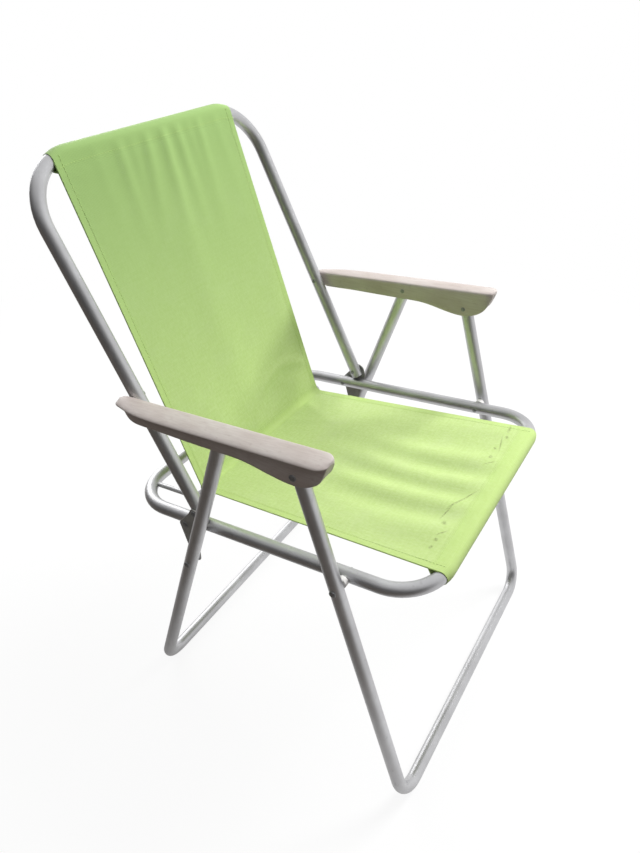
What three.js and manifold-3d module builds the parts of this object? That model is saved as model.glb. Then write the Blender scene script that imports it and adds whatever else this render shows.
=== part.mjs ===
// A folding lawn chair: four bent tube frames, two moulded armrests and a mesh sling.
// Millimetres, +Z up. The sitter faces -Y, and the left side of the sheet is -X.
// Side-view points are written as (y, z) pairs, and each side's pieces follow the same sizes.
import * as THREE from 'three';
import { mergeVertices } from 'three/addons/utils/BufferGeometryUtils.js';
import Module from 'manifold-3d';

const wasm = await Module();
wasm.setup();

// Tube of the four frames
const tubeRadius = 9;
const tubeWall = 1;
const tubeSides = 16;
const boreSides = 8;
const tubeReach = tubeRadius / Math.cos(Math.PI / tubeSides);

// Clearances
const gap = 0.3;
const overrun = 3;
const sleeveGap = 0.7;

// Stance of the legs
const footHalfSpread = 213;
const legLean = THREE.MathUtils.degToRad(17.775);
const armFrontPivotHeight = 514;
const armRearPivotOverFront = 5;
const seatPivotHeight = 363;
const legPivotUnderRail = 50.13;
const frontLegEndPastPivot = 9;
const rearLegEndPastPivot = 5;
const footBendRadius = 36;

// Seat loop
const seatTilt = THREE.MathUtils.degToRad(6.89);
const frontBarAhead = 99.2;
const railPivotBehind = 239.8;
const rearBarPastPivot = 111.2;
const frontBendRadius = 58;
const rearBendRadius = 62;
const joinerLength = 60;

// Back frame
const backRecline = THREE.MathUtils.degToRad(27.68);
const backHalfWidth = 206.5;
const backPivotAhead = 17.5;
const backPivotRise = 26.6;
const topBarHeight = 760;
const backEndPastPivot = 11;
const backBendRadius = 72;

// Rivets, washers and spacers
const rivetRadius = 2.5;
const rivetHeadRadius = 4.4;
const rivetHeadHeight = 1.6;
const rivetSides = 10;
const ringSides = 14;
const rivetHoleRadius = rivetRadius + gap;
const washerThickness = 2.4;
const washerRadius = 6.5;
const spacerRadius = 6.8;

// Brackets
const bracketThickness = 2;
const bracketMargin = 11;
// Corners of its outline, as shares of the margin from each pivot
const bracketRailShares = [[0.93, -0.05]];
const bracketWaistShares = [[0.82, -0.3], [-1.2, -0.6], [-1.35, -1.35]];
const bracketHeadShares = [[0.82, -0.3], [0.4, 0.55], [-0.4, 0.53], [-0.95, 0.14], [-1.2, -0.6], [-1.35, -1.35]];
const bracketAnkleShares = [[-0.5, 0.8], [1.15, 0.9]];
const bracketFootShares = [[-0.5, 0.8], [-0.5, -0.5], [-0.25, -0.85], [0.4, -0.85], [0.8, -0.4], [1.15, 0.9]];

// Armrests
const armWall = 2.4;
const armFrontPivotDrop = 15.58;
const armBackPivotRise = 5.05;
const armPlateOverBackPivot = 2.95;
const armPlateThickness = 5.4;
const armPlateEdge = 2;
const armPlateWidth = 33;
const armRearWidth = 22;
const armFrontOverhang = 43.5;
const armTailPastHead = 3.3;
const armFrontCorner = 12;
const armRearCorner = 6;
const armFrontSkirtMargin = 12;
const armRearSkirtMargin = 13;
const armBackSkirtMargin = 13;
const armCeiling = 2.6;
const armTaperShare = 0.55;
const armTaperPullShare = 0.78;
const noseWallShare = 1.6;
// Skirt edge ahead of the front pivot: shares of the overhang ahead, and of the front margin above
const skirtNoseShares = [[0.8, 0.4], [0.36, -0.73]];
const skirtStartShare = 0.931;
// Its lowest point: shares of the front margin
const skirtLowestShares = [0.35, -1];
// Then rearwards: shares of the way to the rear pivot, and of the rise to the rear margin
const skirtMiddleShares = [[0.37, 0.393], [0.7, 0.947], [1.1, 1]];
// Tails: shares of the way from the rear pivot to the back pivot, and of the rear margin below
const skirtTailShares = [0.6, 0.75];
const outerTailShares = [[0.77, 0.4], [0.86, -0.1]];
const outerTailEndShare = 0.91;
// Round the back pivot: shares of its margin
const innerTailShares = [[-0.75, -1.15], [0.05, -0.85]];
const cornerSteps = 4;
const edgeSteps = 3;

// Crease rod
const rodRadius = 3.5;
const rodSides = 10;
const rodInset = 37.8;
const rodAheadOfBar = 83.35;
const rodOverBar = 10.11;
const rodBendRadius = 14;

// Sling
const clothThickness = 1;
const slingTopInset = 44.5;
const slingCreaseInset = 14;
const slingFrontInset = 40.8;
const seatSag = 7;
const backSag = 6;
const foldDepth = 2.2;
const foldHalfWaves = 3.5;
const sleeveOpening = THREE.MathUtils.degToRad(28);
const clothColumns = 5;
const clothRows = 10;
const sleeveRows = 10;

// Lateral stack from the back tube outwards, on one side
const bracketInner = backHalfWidth + tubeReach + gap;
const bracketOuter = bracketInner + bracketThickness;
const railX = bracketInner - gap - washerThickness - gap - tubeReach;
const armInner = backHalfWidth + tubeReach + gap + rivetHeadHeight + gap + gap;
const legX = armInner + armWall + gap + tubeReach;
const legInner = legX - tubeReach;
const legOuter = legX + tubeReach;
const armOuter = legOuter + gap + armWall;

// Half-widths inside the frames
const rodHalfWidth = railX - rodInset;
const slingTopHalfWidth = backHalfWidth - slingTopInset;
const slingCreaseHalfWidth = rodHalfWidth - slingCreaseInset;
const slingFrontHalfWidth = railX - slingFrontInset;

// Side-view helpers: a point at (y, z), and a step along a direction
const at = (y, z) => new THREE.Vector2(y, z);
const step = (from, direction, length) => from.clone().addScaledVector(direction, length);
const lift = (point, x) => new THREE.Vector3(x, point.x, point.y);

// Directions in the side view
const frontLegUp = at(Math.sin(legLean), Math.cos(legLean));
const rearLegUp = at(-Math.sin(legLean), Math.cos(legLean));
const railBack = at(Math.cos(seatTilt), -Math.sin(seatTilt));
const backUp = at(Math.sin(backRecline), Math.cos(backRecline));

// The seven pivots of each side and the bars' centres
const frontFoot = at(-footHalfSpread, tubeRadius);
const rearFoot = at(footHalfSpread, tubeRadius);
const frontLegAt = (height) => step(frontFoot, frontLegUp, (height - frontFoot.y) / frontLegUp.y);
const rearLegAt = (height) => step(rearFoot, rearLegUp, (height - rearFoot.y) / rearLegUp.y);
const armFrontPivot = frontLegAt(armFrontPivotHeight);
const armRearPivot = rearLegAt(armFrontPivotHeight + armRearPivotOverFront);
const seatPivot = frontLegAt(seatPivotHeight);
const railPivot = step(seatPivot, railBack, railPivotBehind);
const legBracketPivot = rearLegAt(railPivot.y - legPivotUnderRail);
const frontBar = step(seatPivot, railBack, -frontBarAhead);
const rearBar = step(railPivot, railBack, rearBarPastPivot);
const backPivot = railPivot.clone().add(at(-backPivotAhead, backPivotRise));
const backAt = (height) => step(backPivot, backUp, (height - backPivot.y) / backUp.y);
const topBar = backAt(topBarHeight);
const rod = rearBar.clone().add(at(-rodAheadOfBar, rodOverBar));

// Armrest frame: u runs rearwards along the top and h rises from it, both from the rear leg's pivot.
// Its slope leaves the front pivot a drop below the rear one, and the back pivot a rise above it.
const armPivotLine = armRearPivot.clone().sub(armFrontPivot);
const armLineRise = Math.atan2(armPivotLine.y, armPivotLine.x);
const armTilt = Math.asin(armFrontPivotDrop / armPivotLine.length()) - armLineRise;
const armRearwards = at(Math.cos(armTilt), -Math.sin(armTilt));
const armUpwards = at(Math.sin(armTilt), Math.cos(armTilt));
const armPoint = (u, h) => step(step(armRearPivot, armRearwards, u), armUpwards, h);
const backToArm = armPoint(0, armBackPivotRise).sub(backPivot);
const armBackPivot = step(backPivot, backUp, backToArm.dot(armUpwards) / backUp.dot(armUpwards));

// Finishes
const finish = (color, roughness, metalness) => (
  new THREE.MeshStandardMaterial({ color, roughness, metalness })
);
const frameCoat = finish(0xb9bbbd, 0.42, 0.35);
const platedSteel = finish(0x9a9c9e, 0.4, 0.9);
const bracketSteel = finish(0x6f7376, 0.5, 0.8);
const armPlastic = finish(0xe3dcd8, 0.5, 0);
const whitePlastic = finish(0xf0f0ee, 0.45, 0);
const meshCloth = finish(0xb4dc78, 0.8, 0);

const chair = new THREE.Group();

function addPiece(name, geometry, material) {
  const mesh = new THREE.Mesh(geometry, material);
  mesh.name = name;
  chair.add(mesh);
  return mesh;
}

// Booleans: a closed geometry becomes a solid, and a solid becomes a geometry again
function toSolid(geometry) {
  const bare = geometry.clone();
  bare.deleteAttribute('normal');
  bare.deleteAttribute('uv');
  const merged = mergeVertices(bare);
  return new wasm.Manifold(new wasm.Mesh({
    numProp: 3,
    vertProperties: Float32Array.from(merged.attributes.position.array),
    triVerts: Uint32Array.from(merged.index.array),
  }));
}

function toGeometry(solid) {
  const mesh = solid.getMesh();
  const geometry = new THREE.BufferGeometry();
  geometry.setAttribute('position', new THREE.BufferAttribute(mesh.vertProperties, 3));
  geometry.setIndex(new THREE.BufferAttribute(mesh.triVerts, 1));
  geometry.computeVertexNormals();
  return geometry;
}

// A round bar along X between two places, centred on a side-view point
function crossBar(point, fromX, toX, radius, sides) {
  const bar = new THREE.CylinderGeometry(radius, radius, Math.abs(toX - fromX), sides);
  bar.rotateZ(Math.PI / 2);
  bar.translate((fromX + toX) / 2, point.x, point.y);
  return bar;
}

// Cuts a rivet's hole through a solid, at a side-view point, from one X to another
function drill(solid, point, fromX, toX) {
  const radius = rivetHoleRadius / Math.cos(Math.PI / rivetSides);
  return solid.subtract(toSolid(crossBar(point, fromX, toX, radius, rivetSides)));
}

// A polygon round a circle, turned so that a flat faces the given angle
function ringPoints(radius, sides, turn) {
  const points = [];
  for (let i = 0; i < sides; i += 1) {
    const angle = turn + ((i + 0.5) * 2 * Math.PI) / sides;
    points.push(new THREE.Vector2(Math.cos(angle), Math.sin(angle)).multiplyScalar(radius));
  }
  return points;
}

// A path that keeps the stations it is given, so straight runs cost no extra sections
class StationPath extends THREE.Curve {
  constructor(stations) {
    super();
    this.stations = stations;
  }

  getPoint(t, target = new THREE.Vector3()) {
    const last = this.stations.length - 1;
    const place = Math.min(Math.max(t, 0), 1) * last;
    const index = Math.min(Math.floor(place), last - 1);
    return target.lerpVectors(this.stations[index], this.stations[index + 1], place - index);
  }

  getUtoTmapping(u) {
    return u;
  }
}

// Stations along straight runs whose corners are rounded to the given radii
function bentRoute(corners, radii, bendSteps) {
  const stations = [corners[0]];
  for (let i = 1; i < corners.length - 1; i += 1) {
    const corner = corners[i];
    const inward = corners[i - 1].clone().sub(corner).normalize();
    const outward = corners[i + 1].clone().sub(corner).normalize();
    const half = inward.angleTo(outward) / 2;
    const radius = radii[i - 1];
    const middle = inward.clone().add(outward).normalize();
    const centre = corner.clone().addScaledVector(middle, radius / Math.sin(half));
    const start = corner.clone().addScaledVector(inward, radius / Math.tan(half));
    const axis = outward.clone().cross(inward).normalize();
    const sweep = Math.PI - 2 * half;
    for (let k = 0; k <= bendSteps; k += 1) {
      const arm = start.clone().sub(centre).applyAxisAngle(axis, (sweep * k) / bendSteps);
      stations.push(arm.add(centre));
    }
  }
  stations.push(corners[corners.length - 1]);
  return stations;
}

// A tube, or a solid bar where the wall is the radius, along a route
function sweptTube(stations, radius, wall, sides, turn) {
  const section = new THREE.Shape(ringPoints(radius / Math.cos(Math.PI / sides), sides, turn));
  if (wall < radius) {
    section.holes.push(new THREE.Path(ringPoints(radius - wall, boreSides, turn).reverse()));
  }
  return new THREE.ExtrudeGeometry(section, {
    steps: stations.length - 1,
    extrudePath: new StationPath(stations),
  });
}

const bendSteps = 6;
const sides = [
  { name: 'left', sign: -1 },
  { name: 'right', sign: 1 },
];

// Drills the same side-view points through both legs of a frame
function drillFrame(geometry, points, centreX) {
  let solid = toSolid(geometry);
  const reach = tubeReach + overrun;
  for (const { sign } of sides) {
    for (const point of points) {
      solid = drill(solid, point, sign * (centreX - reach), sign * (centreX + reach));
    }
  }
  return toGeometry(solid);
}

// Seat frame: one tube bent into a loop, its ends butted at the middle of the rear bar
function seatFrame() {
  const seam = gap / 2;
  const corners = [
    lift(rearBar, seam),
    lift(rearBar, railX),
    lift(frontBar, railX),
    lift(frontBar, -railX),
    lift(rearBar, -railX),
    lift(rearBar, -seam),
  ];
  const radii = [rearBendRadius, frontBendRadius, frontBendRadius, rearBendRadius];
  const tube = sweptTube(bentRoute(corners, radii, bendSteps), tubeRadius, tubeWall, tubeSides, 0);
  return drillFrame(tube, [seatPivot, railPivot], railX);
}

// The plug that joins the loop's two ends, a loose fit in the bore
function frameJoiner() {
  const boreReach = (tubeRadius - tubeWall) * Math.cos(Math.PI / boreSides);
  const radius = boreReach - gap;
  const plug = toSolid(crossBar(rearBar, -joinerLength / 2, joinerLength / 2, radius, boreSides));
  const bore = crossBar(rearBar, -joinerLength, joinerLength, radius - tubeWall, boreSides);
  return toGeometry(plug.subtract(toSolid(bore)));
}

// Back frame: an upside-down U whose ends stop just past the bracket pivots
function backFrame() {
  const end = step(backPivot, backUp, -backEndPastPivot);
  const corners = [
    lift(end, backHalfWidth),
    lift(topBar, backHalfWidth),
    lift(topBar, -backHalfWidth),
    lift(end, -backHalfWidth),
  ];
  const route = bentRoute(corners, [backBendRadius, backBendRadius], bendSteps + 1);
  const tube = sweptTube(route, tubeRadius, tubeWall, tubeSides, 0);
  return drillFrame(tube, [backPivot, armBackPivot], backHalfWidth);
}

// A leg frame: a U standing on its floor bar, whose lowest flat lies on the ground
function legFrame(foot, up, pivots, endPastPivot) {
  const end = step(pivots[0], up, endPastPivot);
  const corners = [lift(end, legX), lift(foot, legX), lift(foot, -legX), lift(end, -legX)];
  const route = bentRoute(corners, [footBendRadius, footBendRadius], bendSteps);
  const turn = -Math.atan2(up.x, up.y);
  return drillFrame(sweptTube(route, tubeRadius, tubeWall, tubeSides, turn), pivots, legX);
}

addPiece('seat_frame', seatFrame(), frameCoat);
addPiece('frame_joiner', frameJoiner(), platedSteel);
addPiece('back_frame', backFrame(), frameCoat);
const frontLegs = legFrame(frontFoot, frontLegUp, [armFrontPivot, seatPivot], frontLegEndPastPivot);
const rearLegs = legFrame(rearFoot, rearLegUp, [armRearPivot, legBracketPivot], rearLegEndPastPivot);
addPiece('front_leg_frame', frontLegs, frameCoat);
addPiece('rear_leg_frame', rearLegs, frameCoat);

// Crease rod: a thin U from the rear bar forward to the line where the seat meets the back
function creaseRod() {
  const intoBend = Math.max(rodHalfWidth + rodRadius - (railX - rearBendRadius), 0);
  const halfStep = Math.PI / 2 / bendSteps / 2;
  const innerFace = (rearBendRadius - tubeReach) * Math.cos(halfStep);
  const bendAhead = rearBendRadius - Math.sqrt(innerFace ** 2 - intoBend ** 2);
  const toBar = rearBar.clone().sub(rod).normalize();
  const end = step(rearBar, toBar, -(bendAhead + gap));
  const corners = [
    lift(end, rodHalfWidth),
    lift(rod, rodHalfWidth),
    lift(rod, -rodHalfWidth),
    lift(end, -rodHalfWidth),
  ];
  const route = bentRoute(corners, [rodBendRadius, rodBendRadius], bendSteps);
  return sweptTube(route, rodRadius, rodRadius, rodSides, 0);
}

addPiece('crease_rod', creaseRod(), frameCoat);

// Shares of a head's radius and of its height, from its crown to its rim
const domeShares = [[0, 1], [0.7, 0.78], [1, 0]];

// Profile of a rivet along its own axis, from a start to an end, domed where it has a head
function rivetGeometry(length, headAtStart, headAtEnd) {
  const profile = [];
  if (headAtStart) {
    for (const [out, rise] of domeShares) {
      profile.push(at(rivetHeadRadius * out, -rivetHeadHeight * rise));
    }
  } else {
    profile.push(at(0, 0));
  }
  profile.push(at(rivetRadius, 0), at(rivetRadius, length));
  if (headAtEnd) {
    for (const [out, rise] of [...domeShares].reverse()) {
      profile.push(at(rivetHeadRadius * out, length + rivetHeadHeight * rise));
    }
  } else {
    profile.push(at(0, length));
  }
  return new THREE.LatheGeometry(profile, rivetSides);
}

// Places a rivet on one side, between two distances from the middle of the chair
function addRivet(name, side, point, fromX, toX, headAtInner, headAtOuter) {
  const rivet = rivetGeometry(toX - fromX, headAtInner, headAtOuter);
  const piece = addPiece(`${name}_${side.name}`, rivet, platedSteel);
  piece.position.set(side.sign * fromX, point.x, point.y);
  piece.rotation.z = (-side.sign * Math.PI) / 2;
}

// A washer or spacer: a ring on one pivot that fills the space between two pieces
function addRing(name, side, point, fromX, toX, radius, material) {
  const hole = rivetHoleRadius;
  const profile = [at(hole, 0), at(radius, 0), at(radius, toX - fromX), at(hole, toX - fromX), at(hole, 0)];
  const piece = addPiece(`${name}_${side.name}`, new THREE.LatheGeometry(profile, ringSides), material);
  piece.position.set(side.sign * fromX, point.x, point.y);
  piece.rotation.z = (-side.sign * Math.PI) / 2;
}

// The side-view points that stand off a pivot by shares of the bracket's margin
const bracketCorners = (pivot, shares) => (
  shares.map(([y, z]) => pivot.clone().add(at(y * bracketMargin, z * bracketMargin)))
);

// A flat plate in the side view, between two X places
function sidePlate(outline, fromX, toX) {
  const low = Math.min(fromX, toX);
  const plate = new THREE.ExtrudeGeometry(outline, { depth: Math.abs(toX - fromX), bevelEnabled: false });
  const axes = new THREE.Matrix4().makeBasis(
    new THREE.Vector3(0, 1, 0),
    new THREE.Vector3(0, 0, 1),
    new THREE.Vector3(1, 0, 0),
  );
  plate.applyMatrix4(axes);
  plate.translate(low, 0, 0);
  return plate;
}

// A convex plate between two X places that just holds all the side-view points
function hullPlate(points, fromX, toX) {
  return wasm.Manifold.hull(points.flatMap((point) => [
    [fromX, point.x, point.y],
    [toX, point.x, point.y],
  ]));
}

// Bracket: a head round the back's pivot, a waist at the rail's and a foot at the leg's
function bracket(side) {
  const from = side.sign * bracketInner;
  const to = side.sign * bracketOuter;
  const waist = [
    ...bracketCorners(railPivot, bracketRailShares),
    ...bracketCorners(backPivot, bracketWaistShares),
    ...bracketCorners(legBracketPivot, bracketAnkleShares),
  ];
  let plate = hullPlate(waist, from, to);
  plate = plate.add(hullPlate(bracketCorners(backPivot, bracketHeadShares), from, to));
  plate = plate.add(hullPlate(bracketCorners(legBracketPivot, bracketFootShares), from, to));
  for (const point of [backPivot, railPivot, legBracketPivot]) {
    plate = drill(plate, point, from - side.sign * overrun, to + side.sign * overrun);
  }
  return toGeometry(plate);
}

// The pivots and ends of the armrest in its own frame
const armLocal = (point) => {
  const offset = point.clone().sub(armRearPivot);
  return at(offset.dot(armRearwards), offset.dot(armUpwards));
};
const armFront = armLocal(armFrontPivot);
const armBack = armLocal(armBackPivot);
const armNose = armFront.x - armFrontOverhang;
const armTail = armBack.x + rivetHeadRadius + gap + armTailPastHead;
const armPlateRise = armBack.y + armPlateOverBackPivot;
const plateTop = armPlateRise + armPlateThickness;

// Top plate seen from above: x is the distance out from the inner skirt's face, y is u
function armPlan(inset) {
  const taperStart = armBack.x * armTaperShare;
  const outer = armPlateWidth - inset;
  const outline = new THREE.Shape();
  outline.moveTo(inset, armTail - armRearCorner);
  outline.lineTo(inset, armNose + armFrontCorner);
  outline.quadraticCurveTo(inset, armNose + inset, armFrontCorner, armNose + inset);
  outline.lineTo(armPlateWidth - armFrontCorner, armNose + inset);
  outline.quadraticCurveTo(outer, armNose + inset, outer, armNose + armFrontCorner);
  outline.lineTo(outer, taperStart);
  const rearOuter = armRearWidth - inset;
  const rear = armTail - inset;
  outline.quadraticCurveTo(outer, armTail * armTaperPullShare, rearOuter, armTail - armRearCorner);
  outline.quadraticCurveTo(rearOuter, rear, armRearWidth - armRearCorner, rear);
  outline.lineTo(armRearCorner + inset, rear);
  outline.quadraticCurveTo(inset, rear, inset, armTail - armRearCorner);
  return outline;
}

// Turns a plate drawn as (x, u) and raised along h into the chair's frame, on one side
function raiseArmPlate(geometry, sign) {
  const across = new THREE.Vector3(1, 0, 0);
  const along = new THREE.Vector3(0, armRearwards.x, armRearwards.y);
  const rise = new THREE.Vector3(0, armUpwards.x, armUpwards.y);
  const place = new THREE.Matrix4().makeBasis(across, along, rise);
  place.setPosition(sign * armInner, armRearPivot.x, armRearPivot.y);
  return geometry.applyMatrix4(place);
}

const mirrored = (outline, sign) => new THREE.Shape(
  outline.getPoints(cornerSteps).map((point) => at(sign * point.x, point.y)),
);

function armPlate(sign) {
  const body = new THREE.ExtrudeGeometry(mirrored(armPlan(armPlateEdge), sign), {
    depth: armPlateThickness - 2 * armPlateEdge,
    bevelThickness: armPlateEdge,
    bevelSize: armPlateEdge,
    bevelSegments: 2,
  });
  body.translate(0, 0, armPlateRise + armPlateEdge);
  return toSolid(raiseArmPlate(body, sign));
}

// The channel between the skirts, cut up into the plate and narrower at the rear
function armPocket(sign) {
  const depth = armPlateThickness - armCeiling + overrun;
  const farWall = armOuter - armInner - armWall;
  const front = armNose + armFrontCorner;
  const taperStart = armBack.x * armTaperShare;
  const rear = armTail - armWall;
  const outline = new THREE.Shape([
    at(armWall, front),
    at(farWall, front),
    at(farWall, taperStart),
    at(farWall / 2, rear),
    at(armWall, rear),
  ]);
  const pocket = new THREE.ExtrudeGeometry(mirrored(outline, sign), { depth, bevelEnabled: false });
  pocket.translate(0, 0, plateTop - armCeiling - depth);
  return toSolid(raiseArmPlate(pocket, sign));
}

// Lower edge of a skirt, from the nose to the tail: it dips round the front leg's pivot
function skirtEdge(tailPoints) {
  const front = armFrontSkirtMargin;
  const lowest = armFront.y + front * skirtLowestShares[1];
  const rise = -armRearSkirtMargin - lowest;
  const ahead = (share) => armFront.x - armFrontOverhang * share;
  return [
    at(ahead(skirtStartShare), armPlateRise),
    ...skirtNoseShares.map(([out, up]) => at(ahead(out), armFront.y + front * up)),
    at(armFront.x + front * skirtLowestShares[0], lowest),
    ...skirtMiddleShares.map(([along, up]) => at(armFront.x * (1 - along), lowest + rise * up)),
    ...tailPoints,
  ];
}

const edgeCurve = (edge) => new THREE.SplineCurve(edge).getPoints(edgeSteps * edge.length);
const plateCentre = armPlateRise + armPlateEdge;

function skirtOutline(tailPoints) {
  const curve = edgeCurve(skirtEdge(tailPoints));
  const closing = [at(curve[curve.length - 1].x, plateCentre), at(curve[0].x, plateCentre)];
  return new THREE.Shape([...curve, ...closing].map((point) => armPoint(point.x, point.y)));
}

const tailPoint = ([along, below]) => at(armBack.x * along, -armRearSkirtMargin * below);

// The inner skirt reaches back round the back tube's pivot, and the outer one curves up before it
function innerSkirt() {
  const margin = armBackSkirtMargin;
  return skirtOutline([
    tailPoint(skirtTailShares),
    ...innerTailShares.map(([along, up]) => at(armBack.x + margin * along, armBack.y + margin * up)),
    at(armTail - armPlateEdge, armPlateRise),
  ]);
}

function outerSkirt() {
  return skirtOutline([
    tailPoint(skirtTailShares),
    ...outerTailShares.map(tailPoint),
    at(armBack.x * outerTailEndShare, armPlateRise),
  ]);
}

// The nose closes the channel ahead of the front leg with a wall that follows the skirts' curve
function noseOutline() {
  const clear = Math.hypot(tubeReach, frontLegEndPastPivot) + gap;
  const curve = edgeCurve(skirtEdge([]).slice(0, 2 + skirtNoseShares.length));
  const outer = curve.filter((point) => point.x < armFront.x - clear);
  const inner = outer.map((point) => at(point.x + noseWallShare * armWall, point.y + armWall)).reverse();
  const closing = at(inner[inner.length - 1].x, plateCentre);
  const first = at(outer[0].x, plateCentre);
  return new THREE.Shape([first, ...outer, ...inner, closing].map((point) => armPoint(point.x, point.y)));
}

function armrest(side) {
  const { sign } = side;
  const wallOuter = armOuter - armWall;
  let solid = armPlate(sign).subtract(armPocket(sign));
  solid = solid.add(toSolid(sidePlate(innerSkirt(), sign * armInner, sign * (armInner + armWall))));
  solid = solid.add(toSolid(sidePlate(outerSkirt(), sign * wallOuter, sign * armOuter)));
  solid = solid.add(toSolid(sidePlate(noseOutline(), sign * armInner, sign * armOuter)));
  const through = [sign * (armInner - overrun), sign * (armOuter + overrun)];
  const inward = [sign * (armInner - overrun), sign * (armInner + armWall + overrun)];
  solid = drill(solid, armFrontPivot, ...through);
  solid = drill(solid, armRearPivot, ...inward);
  solid = drill(solid, armBackPivot, ...inward);
  return toGeometry(solid);
}

for (const side of sides) {
  addPiece(`bracket_${side.name}`, bracket(side), bracketSteel);
  addPiece(`armrest_${side.name}`, armrest(side), armPlastic);

  // Seat rail to front leg, with the white spacer between them
  const railOuter = railX + tubeReach;
  addRivet('seat_rivet', side, seatPivot, railX - tubeReach - gap, legOuter + gap, true, true);
  addRing('spacer', side, seatPivot, railOuter + gap, legInner - gap, spacerRadius, whitePlastic);

  // Bracket to seat rail
  addRivet('rail_rivet', side, railPivot, railX - tubeReach - gap, bracketOuter + gap, true, true);
  addRing('rail_washer', side, railPivot, railOuter + gap, bracketInner - gap, washerRadius, platedSteel);

  // Bracket to back tube
  addRivet('back_rivet', side, backPivot, backHalfWidth - tubeReach - gap, bracketOuter + gap, true, true);

  // Bracket to rear leg
  addRivet('leg_rivet', side, legBracketPivot, bracketInner - gap, legOuter + gap, true, true);
  const washerOuter = legInner - gap;
  addRing('leg_washer', side, legBracketPivot, bracketOuter + gap, washerOuter, washerRadius, platedSteel);

  // Armrest to front leg
  addRivet('arm_front_rivet', side, armFrontPivot, armInner - gap, armOuter + gap, true, true);

  // Armrest to rear leg: parted at the leg's inner face
  addRivet('arm_rear_rivet', side, armRearPivot, armInner - gap, armInner + armWall, true, false);
  addRivet('arm_rear_pin', side, armRearPivot, legInner + gap, legOuter - gap, false, false);

  // Armrest to back tube: parted at the armrest's face
  const backInner = backHalfWidth - tubeReach;
  addRivet('arm_back_rivet', side, armBackPivot, backInner - gap, armInner - gap, true, false);
  addRivet('arm_back_rivet_head', side, armBackPivot, armInner, armInner + armWall + gap, false, true);
}

// A bar's bend as the sleeve on it meets it: the places and set-backs of the bar's own sections
function barBend(start, radius, steps, inward) {
  const knots = [];
  for (let k = 0; k <= steps; k += 1) {
    const turn = (Math.PI / 2 / steps) * k;
    knots.push(at(start + radius * Math.sin(turn), radius * (1 - Math.cos(turn))));
  }
  return { knots, inward };
}

function bendOffset(bend, x) {
  const place = Math.abs(x);
  const next = bend.knots.findIndex((knot) => knot.x > place);
  if (next <= 0) {
    return 0;
  }
  const [from, to] = [bend.knots[next - 1], bend.knots[next]];
  return from.y + ((place - from.x) / (to.x - from.x)) * (to.y - from.y);
}

// Shares of the half-width at which the cloth has a column: even up to the bend, then its knots
function columnShares(bend, halfWidth, evenColumns) {
  const straight = bend.knots[0].x / halfWidth;
  const shares = [];
  for (let c = 1; c <= evenColumns; c += 1) {
    shares.push((straight * c) / evenColumns);
  }
  for (const knot of bend.knots.slice(1).filter((k) => k.x < halfWidth)) {
    shares.push(knot.x / halfWidth);
  }
  shares.push(1);
  return [...shares.map((share) => -share).reverse(), 0, ...shares];
}

// Cloth: a sheet whose middle line is a list of side-view stations with their facing directions
function clothSheet(stations, shares, bend) {
  const rows = stations.length;
  const columns = shares.length;
  const positions = [];
  for (const face of [1, -1]) {
    for (const station of stations) {
      for (const share of shares) {
        const wave = station.fold * Math.cos(foldHalfWaves * Math.PI * share);
        const level = station.sag * (share * share - 1) + wave + (face * clothThickness) / 2;
        const x = share * station.halfWidth;
        const follow = station.onBar ? bendOffset(bend, x) : 0;
        const point = step(step(station.point, station.facing, level), bend.inward, follow);
        positions.push(x, point.x, point.y);
      }
    }
  }
  const back = rows * columns;
  const index = [];
  const quad = (a, b, c, d) => index.push(a, c, b, a, d, c);
  for (let r = 0; r < rows - 1; r += 1) {
    for (let c = 0; c < columns - 1; c += 1) {
      const a = r * columns + c;
      quad(a, a + 1, a + 1 + columns, a + columns);
      quad(back + a, back + a + columns, back + a + 1 + columns, back + a + 1);
    }
    const left = r * columns;
    const right = left + columns - 1;
    quad(left, left + columns, back + left + columns, back + left);
    quad(right, back + right, back + right + columns, right + columns);
  }
  const end = (rows - 1) * columns;
  for (let c = 0; c < columns - 1; c += 1) {
    quad(c, back + c, back + c + 1, c + 1);
    quad(end + c, end + c + 1, back + end + c + 1, back + end + c);
  }
  const geometry = new THREE.BufferGeometry();
  geometry.setAttribute('position', new THREE.Float32BufferAttribute(positions, 3));
  geometry.setIndex(index);
  geometry.computeVertexNormals();
  return geometry;
}

// The sling's middle line runs at these distances from the centres of the bars and the rod
const sleeveSlack = 1 / Math.cos(Math.PI / sleeveRows);
const rodReach = rodRadius / Math.cos(Math.PI / rodSides);
const barSleeve = (tubeReach + sleeveGap) * sleeveSlack + clothThickness / 2;
const rodSleeve = (rodReach + sleeveGap) * sleeveSlack + clothThickness / 2;

// Direction of the line that touches two circles on the sitter's side, from one to the other
function tangentAngle(from, fromRadius, to, toRadius, turn) {
  const between = to.clone().sub(from);
  return between.angle() + turn * Math.asin((toRadius - fromRadius) / between.length());
}

const polar = (angle, length) => at(Math.cos(angle), Math.sin(angle)).multiplyScalar(length);

// Seat: from the rod's sleeve forward. Back: from the crease up. Each faces the sitter.
const seatAngle = tangentAngle(rod, rodSleeve, frontBar, barSleeve, -1);
const seatFacing = polar(seatAngle - Math.PI / 2, 1);
const backAngle = tangentAngle(rod, rodSleeve, topBar, barSleeve, 1);
const backFacing = polar(backAngle + Math.PI / 2, 1);
const seatDirection = polar(seatAngle, 1);
const backDirection = polar(backAngle, 1);

// The crease is where the two lines cross, in front of the rod
const creaseHalfAngle = (seatAngle - backAngle) / 2;
const crease = step(rod, polar((seatAngle + backAngle) / 2, 1), rodSleeve / Math.sin(creaseHalfAngle));

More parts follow.
